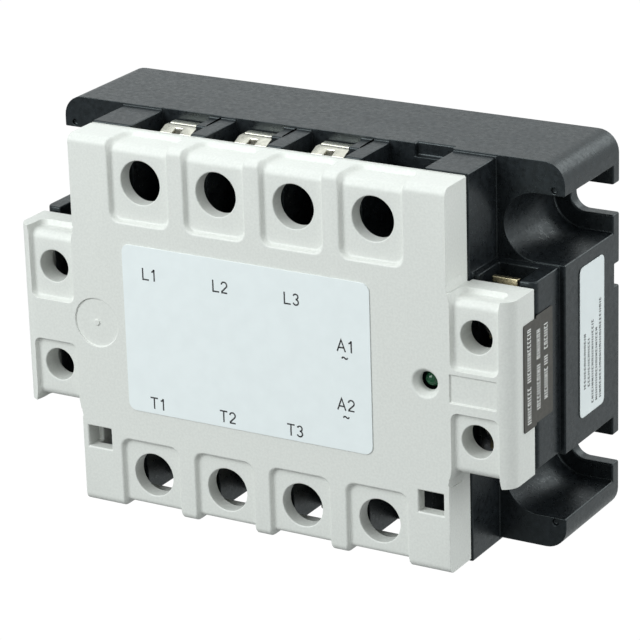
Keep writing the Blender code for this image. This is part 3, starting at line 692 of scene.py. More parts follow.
def cut_ears(cut):
    """The mounting ears' pockets and slots, open to the side, and a dimple by each pocket."""
    for side, sx in SIDES.items():
        for row, sz in (("top", 1), ("bottom", -1)):
            name = f"ear_{side}_{row}"
            x, z, outside = sx * EAR_X, sz * EAR_Z, sx * (BASE_X + PAST)
            for part, radius, depth in (("pocket", EAR_POCKET, (BASE_FRONT - PAST, EAR_FLOOR)),
                                        ("slot", EAR_SLOT, (EAR_FLOOR - PAST, PAST))):
                start = 90 if side == "right" else 270
                curve = arc((x, z), radius, start, start + 180, EAR_STEPS)
                ends = [(outside, z - sx * radius), (outside, z + sx * radius)]
                outlined(f"{name}_{part}", curve + ends, depth, cut)
            rod(name + "_dimple", sx * DIMPLE_PLACE[0], sz * DIMPLE_PLACE[1],
                (BASE_FRONT - PAST, BASE_FRONT + DIMPLE_DEPTH), DIMPLE_RADIUS, cut, steps=24)


def cut_flanks(cut):
    for side, sx in SIDES.items():
        edge = sx * BASE_X
        block(f"key_notch_{side}", (edge - sx * KEY_NOTCH_DEPTH, edge + sx * PAST),
              (BASE_BACK - KEY_NOTCH_DEPTH, PAST), KEY_NOTCH_Z, collection=cut)
        block(f"hook_pocket_{side}", (sx * (HOOK_X[0] - FIT), sx * (HOOK_X[1] + FIT)),
              (BLOCK_FRONT - PAST, HOOK_TIP + FIT), (HOOK_Z[0] - 2.0, HOOK_Z[1] + FIT), collection=cut)
        rod(f"peg_hole_{side}", sx * PEG_PLACE[0], PEG_PLACE[1], (BLOCK_FRONT - PAST, PEG_TIP + FIT),
            PEG_RADIUS + PEG_FIT, cut, steps=32)


def cut_chambers(cut):
    for row, (row_z, side) in ROWS.items():
        open_end = (BLOCK_TOP if side > 0 else BLOCK_BOTTOM) + side * 1.5 * PAST
        inner_end = row_z - side * CHAMBER_DEPTH
        for number, x in enumerate(COLUMNS, 1):
            name = f"chamber_{row}_{number}"
            block(name, (x - CHAMBER_X, x + CHAMBER_X), (BLOCK_FRONT - PAST, CHAMBER_BACK),
                  (inner_end, open_end), collection=cut)
            if x in LIVE_COLUMNS:
                rod(name + "_bore", x, row_z, (CHAMBER_BACK - PAST, CAVITY_STEP + PAST), CHAMBER_BORE, cut,
                    steps=40)
                cavity_end = CAVITY_Z[1] if side > 0 else CAVITY_Z[0]
                block(name + "_bar_slot", (x - BAR_SLOT_X, x + BAR_SLOT_X), BAR_SLOT_Y,
                      (cavity_end - side * PAST, inner_end + side * PAST), collection=cut)
            else:
                block(name + "_notch", (x + BLANK_NOTCH_X[0], x + BLANK_NOTCH_X[1]),
                      (CHAMBER_BACK - PAST, BLANK_NOTCH_FLOOR),
                      (side * BLANK_NOTCH_Z, side * (BASE_TOP + PAST)), collection=cut)


def cut_control_chambers(cut):
    for row, (z, side) in CONTROL_ROWS.items():
        ends = (z - side * CONTROL_CHAMBER_DEPTH, side * (WING_Z + 1.5 * PAST))
        for name, sx in SIDES.items():
            block(f"control_chamber_{row}_{name}", tuple(sx * value for value in CONTROL_CHAMBER_X),
                  (WING_FRONT - 2 * PAST, CONTROL_CHAMBER_BACK), ends, collection=cut)
        rod(f"control_bore_{row}", CONTROL_X, z,
            (CONTROL_CHAMBER_BACK - PAST, CONTROL_CHAMBER_BACK + CONTROL_BORE_DEPTH), CONTROL_BORE, cut,
            steps=32)
        block(f"control_tail_slot_{row}", (CAVITY_X - PAST, CONTROL_CHAMBER_X[0] + PAST), TAIL_SLOT_Y,
              (z - TAIL_SLOT_Z, z + TAIL_SLOT_Z), collection=cut)


def build_housing():
    housing = block("housing_moulding", (-BASE_X, BASE_X), (BASE_FRONT, BASE_BACK), (-BASE_TOP, BASE_TOP),
                    rounding=((1, BASE_CORNER, everywhere),))
    joined = helper_collection("housing_joined")
    block("terminal_block", (-BLOCK_X, BLOCK_X), (BLOCK_FRONT, BASE_FRONT + 2), (BLOCK_BOTTOM, BLOCK_TOP),
          collection=joined)
    block("control_wings", (-WING_X, WING_X), (WING_FRONT, BASE_FRONT + 2), (-WING_Z, WING_Z),
          rounding=((2, WING_ROUND, lambda middle: middle.y < WING_FRONT + 1),), collection=joined)
    boolean(housing, "UNION", joined)

    cut = helper_collection("housing_cut")
    cut_ears(cut)
    cut_flanks(cut)
    cut_chambers(cut)
    cut_control_chambers(cut)
    block("cavity_tall", (-CAVITY_X, CAVITY_X), (CAVITY_STEP, PAST), (-CAVITY_TALL_Z, CAVITY_TALL_Z),
          collection=cut)
    block("cavity_middle", (-CAVITY_X, CAVITY_X), (CAVITY_FRONT, CAVITY_STEP + PAST), CAVITY_Z,
          collection=cut)
    block("plate_recess", (-PLATE_X, PLATE_X), (PLATE_FLOOR, PAST), (-PLATE_Z, PLATE_Z), collection=cut)
    rod("light_guide_hole", LED_PLACE.x, LED_PLACE.z, (BLOCK_FRONT - PAST, CAVITY_FRONT + PAST), LED_HOLE,
        cut, steps=40)
    boolean(housing, "DIFFERENCE", cut)

    ribs = helper_collection("housing_ribs")
    for row, (row_z, side) in ROWS.items():
        end = (BLOCK_TOP if side > 0 else BLOCK_BOTTOM) - side * RIB_DROP
        for number, x in enumerate(LIVE_COLUMNS, 1):
            block(f"rib_{row}_{number}", (x + RIB_X, x + CHAMBER_X + 0.2), (RIB_FRONT, BASE_FRONT + 2),
                  (row_z + side * RIB_START, end), collection=ribs)
    boolean(housing, "UNION", ribs)
    bake(housing)
    clean(housing)
    soften(housing, HOUSING_SOFTENING)
    finish_piece(housing, "housing_moulding", "housing", MATERIALS["black"], ["housing"])


# ---------------------------------------------------------------- cover

def pad_cutter(name, x, inner_z, edge_z, wrap, edge_round, cut, corner):
    """Removes a recess from the front that wraps over the top or bottom edge. Its walls lean outwards."""
    side = 1 if edge_z > inner_z else -1
    floor_y, floor_z = COVER_FRONT + PAD_DEPTH, edge_z - side * PAD_DEPTH
    shoulder = arc((floor_y + edge_round, floor_z - side * edge_round), edge_round, 180, 180 - side * 90)
    floor = [(floor_y, inner_z)] + shoulder + [(COVER_FRONT + wrap, floor_z)]
    shoulder_centre = Vector((floor_y + edge_round, floor_z - side * edge_round))
    reach = PAD_DEPTH + 2 * PAST
    flare = PAD_FLARE * reach
    outer = [(floor_y - reach, inner_z - side * flare)]
    for y, z in shoulder:
        away = (Vector((y, z)) - shoulder_centre).normalized() * reach
        outer.append((y + away.x, z + away.y))
    outer.append((COVER_FRONT + wrap + flare, floor_z + side * reach))
    low_x, high_x = min(x), max(x)
    bm = bmesh.new()
    lines = ((low_x, floor), (high_x, floor), (high_x + flare, outer), (low_x - flare, outer))
    rows = [[bm.verts.new((at * MM, y * MM, z * MM)) for y, z in line] for at, line in lines]
    for near, far in zip(rows, rows[1:] + rows[:1]):
        for step in range(len(floor) - 1):
            bm.faces.new((near[step], near[step + 1], far[step + 1], far[step]))
    for end in (0, -1):
        bm.faces.new([row[end] for row in rows])
    bmesh.ops.recalc_face_normals(bm, faces=bm.faces)
    corners = [bm.edges.get((rows[0][end], rows[3][end])) for end in (0, -1)]
    corners += [bm.edges.get((rows[1][end], rows[2][end])) for end in (0, -1)]
    round_edges(bm, corners, corner)
    new_object(name, bm, cut)


def cut_pads(cut):
    for row, (row_z, side) in ROWS.items():
        edge = COVER_TOP if side > 0 else COVER_BOTTOM
        for number, x in enumerate(COLUMNS, 1):
            pad_cutter(f"pad_{row}_{number}", (x - PAD_X, x + PAD_X), row_z - side * PAD_REACH[row], edge,
                       PAD_WRAP, PAD_EDGE_ROUND[row], cut, PAD_CORNER)
            access_hole(f"access_{row}_{number}", x, row_z, POWER_HOLE, POWER_TUBE_END, cut)
    for row, (row_z, side) in CONTROL_ROWS.items():
        edge = COVER_WING_Z[1] if side > 0 else COVER_WING_Z[0]
        for name, sx in SIDES.items():
            sides = tuple(sx * value for value in WING_PAD_X)
            pad_cutter(f"pad_control_{row}_{name}", sides, WING_PAD_Z[row], edge, WING_PAD_WRAP,
                       WING_PAD_EDGE_ROUND, cut, WING_PAD_CORNER)
            access_hole(f"access_control_{row}_{name}", sx * CONTROL_X, row_z, CONTROL_HOLE, CONTROL_TUBE_END,
                        cut)


def access_hole(name, x, z, radius, end, cut):
    """A driver hole with a chamfered rim in its pad."""
    floor = COVER_FRONT + PAD_DEPTH
    turned(name, ((radius + RIM_CHAMFER + PAST, floor - PAST), (radius, floor + RIM_CHAMFER),
                  (radius, end + PAST)), x, z, cut)


def add_inside(inside):
    root = COVER_INNER_FRONT - 0.4
    for row, (row_z, _) in ROWS.items():
        for number, x in enumerate(COLUMNS, 1):
            rod(f"tube_{row}_{number}", x, row_z, (root, POWER_TUBE_END), POWER_TUBE, inside)
    for side, sx in SIDES.items():
        for row, (z, _) in CONTROL_ROWS.items():
            rod(f"tube_{row}_{side}", sx * CONTROL_X, z, (root, CONTROL_TUBE_END), CONTROL_TUBE, inside)
        block(f"hook_{side}", tuple(sx * value for value in HOOK_X), (root, HOOK_TIP), HOOK_Z,
              collection=inside)
        block(f"hook_barb_{side}", (sx * (HOOK_X[0] + 0.2), sx * (HOOK_X[1] - 0.2)),
              (HOOK_TIP - 1.4, HOOK_TIP - 0.1), (HOOK_Z[0] - 1.0, HOOK_Z[0] + 0.5), collection=inside)
        rod(f"peg_{side}", sx * PEG_PLACE[0], PEG_PLACE[1], (root, PEG_TIP), PEG_RADIUS, inside, steps=32)


def cut_marks(cut):
    """The snap windows, the status light's opening and the right wing's panel."""
    for side, sx in SIDES.items():
        block(f"snap_window_{side}", tuple(sx * value for value in WINDOW_X),
              (COVER_FRONT - PAST, COVER_INNER_FRONT + PAST), WINDOW_Z, collection=cut)
    x, z = LED_PLACE.x, LED_PLACE.z
    slope = (LED_SINK - LED_HOLE) / LED_SINK_DEPTH
    turned("light_opening", ((LED_SINK + slope * PAST, COVER_FRONT - PAST),
                             (LED_HOLE, COVER_FRONT + LED_SINK_DEPTH), (LED_HOLE, COVER_INNER_FRONT + PAST)),
           x, z, cut)
    block("wing_panel", WING_PANEL_X, (COVER_FRONT - PAST, COVER_FRONT + WING_PANEL_DEPTH), WING_PANEL_Z,
          collection=cut)


def build_cover():
    wing_low, wing_high = COVER_WING_Z
    outline = [(-COVER_X, COVER_BOTTOM), (COVER_X, COVER_BOTTOM), (COVER_X, wing_low),
               (COVER_WING_X, wing_low), (COVER_WING_X, wing_high), (COVER_X, wing_high),
               (COVER_X, COVER_TOP), (-COVER_X, COVER_TOP), (-COVER_X, wing_high),
               (-COVER_WING_X, wing_high), (-COVER_WING_X, wing_low), (-COVER_X, wing_low)]
    cover = outlined("cover_moulding", outline, (COVER_FRONT, COVER_WING_REAR), WORK, rounding=(
        (0, COVER_EDGE_ROUND, lambda middle: in_front(middle) and abs(middle.z) > COVER_TOP - PAST),
        (2, COVER_WING_ROUND, lambda middle: in_front(middle) and abs(middle.x) > COVER_WING_X - PAST),
    ))

    hollow = helper_collection("cover_hollow")
    inner = (COVER_INNER_FRONT, COVER_WING_REAR + PAST)
    block("cover_inside", (-COVER_X + COVER_WALL, COVER_X - COVER_WALL), inner,
          (COVER_BOTTOM + COVER_WALL, COVER_TOP - COVER_WALL), collection=hollow)
    block("wings_inside", (-COVER_WING_X + COVER_WALL, COVER_WING_X - COVER_WALL), inner,
          (COVER_WING_Z[0] + COVER_WALL, COVER_WING_Z[1] - COVER_WALL), collection=hollow,
          rounding=((2, COVER_WING_ROUND - COVER_WALL, lambda middle: middle.y < COVER_INNER_FRONT + 0.5),))
    block("rear_step", (-BLOCK_X - 0.3, BLOCK_X + 0.3), (COVER_REAR, COVER_WING_REAR + PAST),
          (COVER_BOTTOM - PAST, COVER_TOP + PAST), collection=hollow)
    boolean(cover, "DIFFERENCE", hollow)

    inside = helper_collection("cover_inside_details")
    add_inside(inside)
    for name, edge, side in (("top", COVER_TOP, 1), ("bottom", COVER_BOTTOM, -1)):
        block(f"lip_{name}", (-COVER_X + 0.4, COVER_X - 0.4), (COVER_REAR - 0.6, COVER_LIP_REAR),
              (edge - side * 0.02, edge - side * 1.6), collection=inside)
    boolean(cover, "UNION", inside)

    cut = helper_collection("cover_cut")
    cut_pads(cut)
    cut_marks(cut)
    boolean(cover, "DIFFERENCE", cut)
    bake(cover)
    clean(cover)

    gate = helper_collection("cover_gate")
    rod("gate_disc", *GATE_PLACE, (COVER_FRONT - PAST, COVER_FRONT + GATE_DEPTH), GATE_RADIUS, gate, steps=96)
    boolean(cover, "DIFFERENCE", gate)
    nub = helper_collection("cover_gate_nub")
    rod("gate_nub", *GATE_PLACE, (COVER_FRONT + 1, COVER_FRONT + 0.03), GATE_NUB_RADIUS, nub, steps=24)
    boolean(cover, "UNION", nub)
    bake(cover)
    clean(cover)
    soften(cover, COVER_SOFTENING)
    finish_piece(cover, "cover_moulding", "cover", MATERIALS["grey"], ["terminal_cover"])


# ---------------------------------------------------------------- pieces made from CAD nodes

SOFTENED = (              # node name pattern, edge rounding, material, slot
    ("terminal_bar_", 0.22, "nickel", "nickel"),
    ("clamp_plate_", 0.22, "nickel", "nickel"),
    ("control_bar_", 0.15, "brass", "brass"),
    ("control_clamp_", 0.15, "brass", "brass"),
    ("base_plate", 0.30, "aluminium", "aluminium"),
    ("power_substrate_", 0.10, "ceramic", "ceramic"),
    ("thyristor_", 0.06, "silicon", "silicon"),
    ("control_board", 0.12, "board", "board_green"),
    ("status_led", 0.15, "lamp", "led_green"),
    ("opto_coupler_", 0.18, "component", "component_black"),
    ("input_rectifier", 0.18, "component", "component_black"),
    ("smoothing_capacitor", 0.5, "component", "component_black"),
    ("varistor_", 0.8, "varistor", "varistor_blue"),
)


def softened_copy(node, width, material):
    """A copy of a CAD node with its edges rounded, which stands for it."""
    source = frame["nodes"][node]
    obj = bpy.data.objects.new(node + "_piece", source.data.copy())
    WORK.objects.link(obj)
    clean(obj)
    soften(obj, width)
    finish_piece(obj, node + "_piece", source["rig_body"], MATERIALS[material], [node])


def build_softened():
    for node in sorted(frame["nodes"]):
        for start, width, material, slot in SOFTENED:
            if node.startswith(start):
                softened_copy(node, width, material)


# ---------------------------------------------------------------- screws

CROSS_AT_FRONT = (1.25, 0.40)       # length and width of a cross recess's bars, for a head radius of one
CROSS_AT_BOTTOM = (0.55, 0.24)
SCREWS = (                # node name start, places, shank and head radius, head height, length, pitch
    ("clamp_screw_", SCREW_PLACES, 2.45, 4.2, 2.6, 12.0, 0.8),
    ("control_screw_", CONTROL_PLACES, 1.45, 2.7, 2.2, 9.0, 0.5),
)
FIRST_TURN = 37           # degrees, so that the crosses don't line up
TURN_STEP = 71


def cross_cutter(name, radius, front, depth, collection):
    """Two tapered bars that cut a cross recess."""
    for turn in (0, 90):
        bm = bmesh.new()
        bmesh.ops.create_cube(bm, size=1.0)
        for vert in bm.verts:
            at_front = vert.co.y < 0
            long_side, short_side = CROSS_AT_FRONT if at_front else CROSS_AT_BOTTOM
            vert.co = Vector((vert.co.x * long_side * radius, 0, vert.co.z * short_side * radius))
            vert.co.y = front - PAST * 0.3 if at_front else front + depth
        bmesh.ops.rotate(bm, cent=(0, 0, 0), matrix=Matrix.Rotation(math.radians(turn), 3, "Y"),
                         verts=bm.verts)
        bmesh.ops.scale(bm, vec=(MM, MM, MM), verts=bm.verts)
        new_object(f"{name}_{turn}", bm, collection)


def screw_mesh(name, shank, head, head_height, length, pitch):
    """A pan head screw with a rolled thread and a cross recess. Its origin is under its head."""
    around, per_turn = 48, 12
    thread_depth = 0.6 * pitch
    profile = [(0.02, -head_height), (head * 0.45, -head_height * 0.99)]
    for angle in range(0, 91, 15):
        turn = math.radians(angle)
        profile.append((head - head_height * 0.55 + 0.55 * head_height * math.sin(turn),
                        -head_height * 0.45 - 0.54 * head_height * math.cos(turn)))
    profile += [(head, -0.12), (head - 0.12, 0.0), (shank - thread_depth + 0.25, 0.0),
                (shank - thread_depth, 0.2)]
    bm = bmesh.new()
    rings = []
    for radius, y in profile:
        rings.append([(radius, y)] * around)
    rows = int((length - 0.8) / pitch * per_turn)
    for row in range(rows):
        y = 0.5 + row * pitch / per_turn
        fade = min(1.0, (length - 0.3 - y) / (1.5 * pitch), (y - 0.3) / (0.5 * pitch))
        ring = []
        for step in range(around):
            phase = (y / pitch - step / around) % 1.0
            crest = max(0.0, min(1.0, 1.6 - abs(phase - 0.5) * 3.6))
            ring.append((shank - thread_depth * (1 - crest * max(0.0, fade)), y))
        rings.append(ring)
    rings.append([(shank - thread_depth, length - 0.25)] * around)
    rings.append([(shank * 0.55, length)] * around)
    rings.append([(0.02, length)] * around)
    grid = []
    for ring in rings:
        grid.append([bm.verts.new((radius * math.cos(2 * math.pi * step / around) * MM, y * MM,
                                   radius * math.sin(2 * math.pi * step / around) * MM))
                     for step, (radius, y) in enumerate(ring)])
    for near, far in zip(grid, grid[1:]):
        for step in range(around):
            after = (step + 1) % around
            bm.faces.new((near[step], near[after], far[after], far[step]))
    bm.faces.new(grid[0])
    bm.faces.new(grid[-1])
    bmesh.ops.recalc_face_normals(bm, faces=bm.faces)
    screw = new_object(name, bm)
    recess = helper_collection(name + "_recess")
    cross_cutter(name + "_cross", head, -head_height, head_height * 0.7, recess)
    boolean(screw, "DIFFERENCE", recess)
    bake(screw)
    screw.data.shade_smooth()
    screw.data.set_sharp_from_angle(angle=math.radians(35))
    mesh = screw.data
    bpy.data.objects.remove(screw)
    return mesh


def build_screws():
    for start, places, shank, head, head_height, length, pitch in SCREWS:
        mesh = screw_mesh(start + "mesh", shank, head, head_height, length, pitch)
        for number, (tag, place) in enumerate(places.items()):
            node = start + tag
            obj = bpy.data.objects.new(node + "_piece", mesh.copy())
            WORK.objects.link(obj)
            under_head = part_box(node)[0].y + head_height * MM
            turn = Matrix.Rotation(math.radians(FIRST_TURN + TURN_STEP * number), 4, "Y")
            obj.data.transform(Matrix.Translation((place.x * MM, under_head, place.z * MM)) @ turn)
            finish_piece(obj, node + "_piece", "screw_" + tag, MATERIALS["nickel"], [node])


# ---------------------------------------------------------------- light guide

NEAR_ZERO = 0.00001      # metres
ROD_RINGS = 0.0003       # metres behind the ball's middle


def build_light_guide():
    low, high = box_mm("light_guide")
    radius = (high.x - low.x) / 2
    bm = bmesh.new()
    bmesh.ops.create_uvsphere(bm, u_segments=48, v_segments=24, radius=radius * MM)
    rod_end = high.y * MM - (low.y + radius) * MM
    for vert in bm.verts:
        # The front half of the ball is the lens. The rings well behind its middle are moved to the rod's end.
        if vert.co.y >= -NEAR_ZERO:
            vert.co.y = rod_end if vert.co.y > ROD_RINGS else 0.0
    bmesh.ops.translate(bm, vec=(LED_PLACE.x * MM, (low.y + radius) * MM, LED_PLACE.z * MM), verts=bm.verts)
    bmesh.ops.remove_doubles(bm, verts=bm.verts, dist=0.000001)
    guide = new_object("light_guide_piece", bm)
    guide.data.shade_smooth()
    guide.data.set_sharp_from_angle(angle=math.radians(40))
    finish_piece(guide, "light_guide_piece", "housing", MATERIALS["lamp"], ["light_guide"])


# ---------------------------------------------------------------- labels

def film(name, x, y, z, axis, corner, body, material, node):
    """A thin film with round corners and a slightly eased edge."""
    obj = block(name, x, y, z, rounding=((axis, corner, everywhere),))
    soften(obj, 0.05, segments=2)
    return finish_piece(obj, name, body, MATERIALS[material], [node])


def ribbon(bm, points, width, place):
    """A flat stroke of even width along points, with mitred joints. Place puts a point in the scene."""
    points = [Vector(point) for point in points]
    sides = []
    for index, point in enumerate(points):
        before = (point - points[index - 1]).normalized() if index else None
        after = (points[index + 1] - point).normalized() if index + 1 < len(points) else None
        run = ((before or after) + (after or before)).normalized()
        across = Vector((-run.y, run.x))
        stretch = 1 / max(0.4, run.dot(after or before))
        sides.append((point + across * width / 2 * stretch, point - across * width / 2 * stretch))
    rows = [[bm.verts.new(place(point)) for point in pair] for pair in sides]
    for near, far in zip(rows, rows[1:]):
        bm.faces.new((near[0], near[1], far[1], far[0]))


# Each glyph is one unit high: its width, and the strokes that draw it.
GLYPHS = {
    "L": (0.62, [[(0.06, 1.0), (0.06, 0.05), (0.62, 0.05)]]),
    "T": (0.70, [[(0.0, 0.95), (0.70, 0.95)], [(0.35, 0.92), (0.35, 0.0)]]),
    "A": (0.78, [[(0.03, 0.0), (0.39, 0.97), (0.75, 0.0)], [(0.15, 0.33), (0.63, 0.33)]]),
    "1": (0.52, [[(0.10, 0.76), (0.25, 0.82), (0.33, 0.97)], [(0.345, 1.0), (0.345, 0.0)]]),
    "2": (0.62, [arc((0.31, 0.69), 0.25, 175, -35, 12) + [(0.06, 0.10)], [(0.03, 0.05), (0.58, 0.05)]]),
    "3": (0.62, [arc((0.30, 0.73), 0.21, 165, -90, 12), arc((0.30, 0.28), 0.235, 90, -165, 12)]),
    "~": (0.62, [[(0.04, 0.42), (0.14, 0.53), (0.24, 0.53), (0.38, 0.42), (0.48, 0.42), (0.58, 0.53)]]),
}
GLYPH_GAP = 0.16
STROKE = 0.125


def word(name, letters, x, z, height, material, body):
    """A flat word on the front label, drawn from strokes and centred on x and z."""
    width = sum(GLYPHS[letter][0] for letter in letters) + GLYPH_GAP * (len(letters) - 1)
    bm = bmesh.new()
    start = -width / 2
    for letter in letters:
        for stroke in GLYPHS[letter][1]:
            ribbon(bm, stroke, STROKE, lambda point: Vector((
                x + (start + point.x) * height, LABEL_FACE - INK_THICKNESS,
                z + (point.y - 0.5) * height)) * MM)
        start += GLYPHS[letter][0] + GLYPH_GAP
    grown = bmesh.ops.extrude_face_region(bm, geom=list(bm.faces))
    moved = [item for item in grown["geom"] if isinstance(item, bmesh.types.BMVert)]
    bmesh.ops.translate(bm, vec=(0, INK_THICKNESS * MM, 0), verts=moved)
    bmesh.ops.recalc_face_normals(bm, faces=bm.faces)
    finish_piece(new_object(name, bm), name, body, MATERIALS[material])


TICK = 0.22
LETTER = 0.6
LETTER_GAP = 0.24
BAR_START = 0.1
BAR_END = 0.5
LETTER_LENGTHS = {"tick": TICK, "pair": LETTER, "bar": BAR_END}
WHOLE_ROW = (0.0, 1.0)


def dashes(name, face_x, y, spans, material, body, seed):
    """A row of ticks and small bars along Z on a side face, which stand for small print."""
    chooser = random.Random(seed)
    bm = bmesh.new()
    for start, end in spans:
        z = start
        while z < end:
            kind = chooser.choice(("tick", "tick", "pair", "bar"))
            ends = (z + BAR_START, z + BAR_END)
            parts = [(WHOLE_ROW, (z, z + TICK))]
            if kind == "pair":
                parts += [(WHOLE_ROW, (z + LETTER - TICK, z + LETTER)),
                          (chooser.choice(((0.0, 0.2), (0.4, 0.6))), ends)]
            elif kind == "bar":
                parts += [((0.0, 0.2), ends), ((0.8, 1.0), ends)]
            for (low, high), (near, far) in parts:
                size = Vector((INK_THICKNESS, (high - low) * (y[1] - y[0]), far - near))
                middle = Vector((face_x + INK_THICKNESS / 2, y[0] + (low + high) / 2 * (y[1] - y[0]),
                                 (near + far) / 2))
                cube = bmesh.ops.create_cube(bm, size=1.0)
                bmesh.ops.scale(bm, vec=size * MM, verts=cube["verts"])
                bmesh.ops.translate(bm, vec=middle * MM, verts=cube["verts"])
            z += LETTER_LENGTHS[kind] + LETTER_GAP
    finish_piece(new_object(name, bm), name, body, MATERIALS[material])


FRONT_LOW, FRONT_HIGH = box_mm("front_label")
LABEL_FACE = FRONT_LOW.y
WORD_HEIGHT = 2.25
INK_THICKNESS = 0.015
FRONT_WORDS = (            # words, x, z
    ("L1", -21.9, 11.0), ("L2", -7.0, 11.0), ("L3", 7.7, 11.0),
    ("T1", -21.3, -13.7), ("T2", -6.4, -13.7), ("T3", 7.6, -13.8),
    ("A1", 18.25, 3.9), ("A2", 18.15, -7.1),
)


WAVES = (("A1", 18.15, 1.7), ("A2", 18.15, -9.4))
FRONT_CORNER = 1.6


def build_front_label():
    film("front_film", (FRONT_LOW.x, FRONT_HIGH.x), (FRONT_LOW.y, FRONT_HIGH.y),
         (FRONT_LOW.z, FRONT_HIGH.z), 1, FRONT_CORNER, "cover", "film", "front_label")
    for words, x, z in FRONT_WORDS:
        word("name_" + words, words, x, z, WORD_HEIGHT, "dark_ink", "cover")
    for row, x, z in WAVES:
        word("wave_" + row, "~", x, z, WORD_HEIGHT, "dark_ink", "cover")


SIDE_ROWS = ((5.2, 10.5), (5.2, 9.0), (1.6, 15.5), (1.6, 13.5), (1.6, 18.5))     # start, length
SIDE_ROW_START = 1.5
SIDE_ROW_STEP = 1.55
SIDE_ROW_HEIGHT = 0.75


def build_side_label():
    low, high = box_mm("side_label")
    film("side_film", (low.x, high.x), (low.y, high.y), (low.z, high.z), 0, 1.2, "housing",
         "film", "side_label")
    for row, (start, length) in enumerate(SIDE_ROWS):
        y = low.y + SIDE_ROW_START + row * SIDE_ROW_STEP
        span = (low.z + start, low.z + start + length)
        dashes(f"side_print_{row + 1}", high.x, (y, y + SIDE_ROW_HEIGHT), (span,), "dark_ink", "housing",
               10 + row)


SEAL_JOINT = -31.75
SEAL_GAP = 0.08
SEAL_CORNER = 0.4
SEAL_STEP_LOW = 0.35     # how far the seal's halves are out of line
SEAL_STEP_HIGH = 0.3
SEAL_ROWS = (             # depth of each row of print, and its words' spans along Z
    ((-35.3, -33.9), ((-7.4, -0.9), (0.3, 9.6))),
    ((-31.55, -30.15), ((-5.9, 2.2), (3.4, 8.4))),
    ((-28.7, -27.3), ((-4.9, 0.3), (1.4, 3.2), (4.3, 8.9))),
)


def build_seal():
    low, high = box_mm("seal_cover_half")
    back_low, back_high = box_mm("seal_housing_half")
    film("seal_film_cover", (low.x, high.x), (low.y, SEAL_JOINT), (low.z, high.z), 0, SEAL_CORNER, "cover",
         "seal", "seal_cover_half")
    film("seal_film_housing", (back_low.x, back_high.x), (SEAL_JOINT + SEAL_GAP, back_high.y),
         (low.z + SEAL_STEP_LOW, high.z + SEAL_STEP_HIGH), 0, SEAL_CORNER, "housing",
         "seal", "seal_housing_half")
    for row, (y, spans) in enumerate(SEAL_ROWS, 1):
        face, body = (high.x, "cover") if row == 1 else (back_high.x, "housing")
        dashes(f"seal_print_{row}", face, y, spans, "pale_ink", body, 2 + row)


# ---------------------------------------------------------------- camera, light and floor

def add_camera():
    azimuth, elevation = math.radians(CAMERA_AZIMUTH), math.radians(CAMERA_ELEVATION)
    roll = math.radians(CAMERA_ROLL)
    back = Vector((math.sin(azimuth) * math.cos(elevation), -math.cos(azimuth) * math.cos(elevation),
                   math.sin(elevation)))
    level_right = (-back).cross(Vector((0, 0, 1))).normalized()
    level_up = level_right.cross(-back)
    right = level_right * math.cos(roll) + level_up * math.sin(roll)
    up = level_up * math.cos(roll) - level_right * math.sin(roll)
    data = bpy.data.cameras.new("camera")
    data.lens = LENS
    data.sensor_width = 36.0
    data.clip_start = 0.01
    camera = bpy.data.objects.new("camera", data)
    bpy.context.scene.collection.objects.link(camera)
    place = (Vector(CAMERA_TARGET) + back * CAMERA_DISTANCE) * MM
    camera.matrix_world = Matrix.Translation(place) @ Matrix((right, up, back)).transposed().to_4x4()
    bpy.context.scene.camera = camera


def softbox(name, place, size, power):
    """A square area light, in metres, that faces the object."""
    data = bpy.data.lights.new(name, "AREA")
    data.size = size
    data.energy = power
    data.color = LIGHT_COLOUR
    light = bpy.data.objects.new(name, data)
    light.location = place
    light.rotation_euler = (Vector(LIGHT_AIM) - Vector(place)).to_track_quat("-Z", "Y").to_euler()
    bpy.context.scene.collection.objects.link(light)


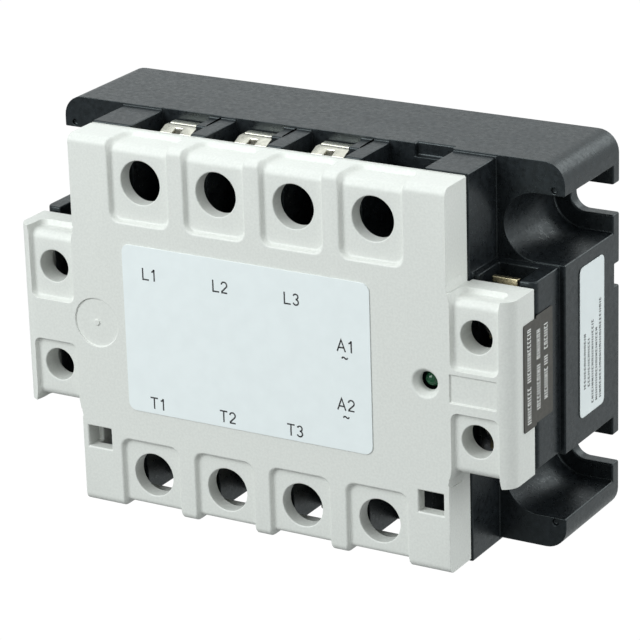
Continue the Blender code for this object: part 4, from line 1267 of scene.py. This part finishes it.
def shade_world(material):
    """A soft white room: dim below, brighter overhead, and brightest behind the object."""
    nodes, links = material.node_tree.nodes, material.node_tree.links
    place = nodes.new("ShaderNodeTexCoord")
    split = nodes.new("ShaderNodeSeparateXYZ")
    links.new(place.outputs["Generated"], split.inputs["Vector"])
    total = nodes.new("ShaderNodeMath")
    total.operation = "ADD"
    for slot, (axis, start, end, low, high) in enumerate((("Z", -0.5, 0.4, ROOM_BELOW, ROOM_ABOVE),
                                                          ("Y", 0.1, 0.8, 0.0, ROOM_BEHIND))):
        span = nodes.new("ShaderNodeMapRange")
        for socket, value in zip(("From Min", "From Max", "To Min", "To Max"), (start, end, low, high)):
            span.inputs[socket].default_value = value
        links.new(split.outputs[axis], span.inputs["Value"])
        links.new(span.outputs["Result"], total.inputs[slot])
    links.new(total.outputs["Value"], nodes["Background"].inputs["Strength"])


def add_floor():
    """The floor shows as plain white to the camera. Its own light doesn't reach the object."""
    material, shader = new_material("floor", (0.0, 0.0, 0.0), 1.0)
    shader.inputs["Specular IOR Level"].default_value = 0.0
    shader.inputs["Emission Color"].default_value = (1.0, 1.0, 1.0, 1.0)
    shader.inputs["Emission Strength"].default_value = FLOOR_GLOW
    bm = bmesh.new()
    bmesh.ops.create_grid(bm, x_segments=1, y_segments=1, size=FLOOR_HALF)
    bmesh.ops.translate(bm, vec=(0, 0, (BLOCK_BOTTOM - FLOOR_GAP) * MM), verts=bm.verts)
    floor = new_object("floor", bm, bpy.context.scene.collection)
    floor.data.materials.append(material)
    floor.visible_diffuse = False
    floor.visible_glossy = False


def add_studio():
    world = bpy.data.worlds.new("studio")
    world.use_nodes = True
    world.node_tree.nodes["Background"].inputs["Color"].default_value = (*LIGHT_COLOUR, 1.0)
    shade_world(world)
    bpy.context.scene.world = world
    for name, place, size, power in SOFTBOXES:
        softbox(name, place, size, power)
    add_floor()
    bpy.context.scene.view_settings.view_transform = "Standard"


def remove_work():
    """Removes the cutters and other helpers."""
    for collection in list(WORK.children_recursive) + [WORK]:
        for obj in list(collection.objects):
            bpy.data.objects.remove(obj)
        bpy.data.collections.remove(collection)


add_camera()
build_housing()
build_cover()
build_softened()
build_screws()
build_light_guide()
build_front_label()
build_side_label()
build_seal()
add_studio()
remove_work()
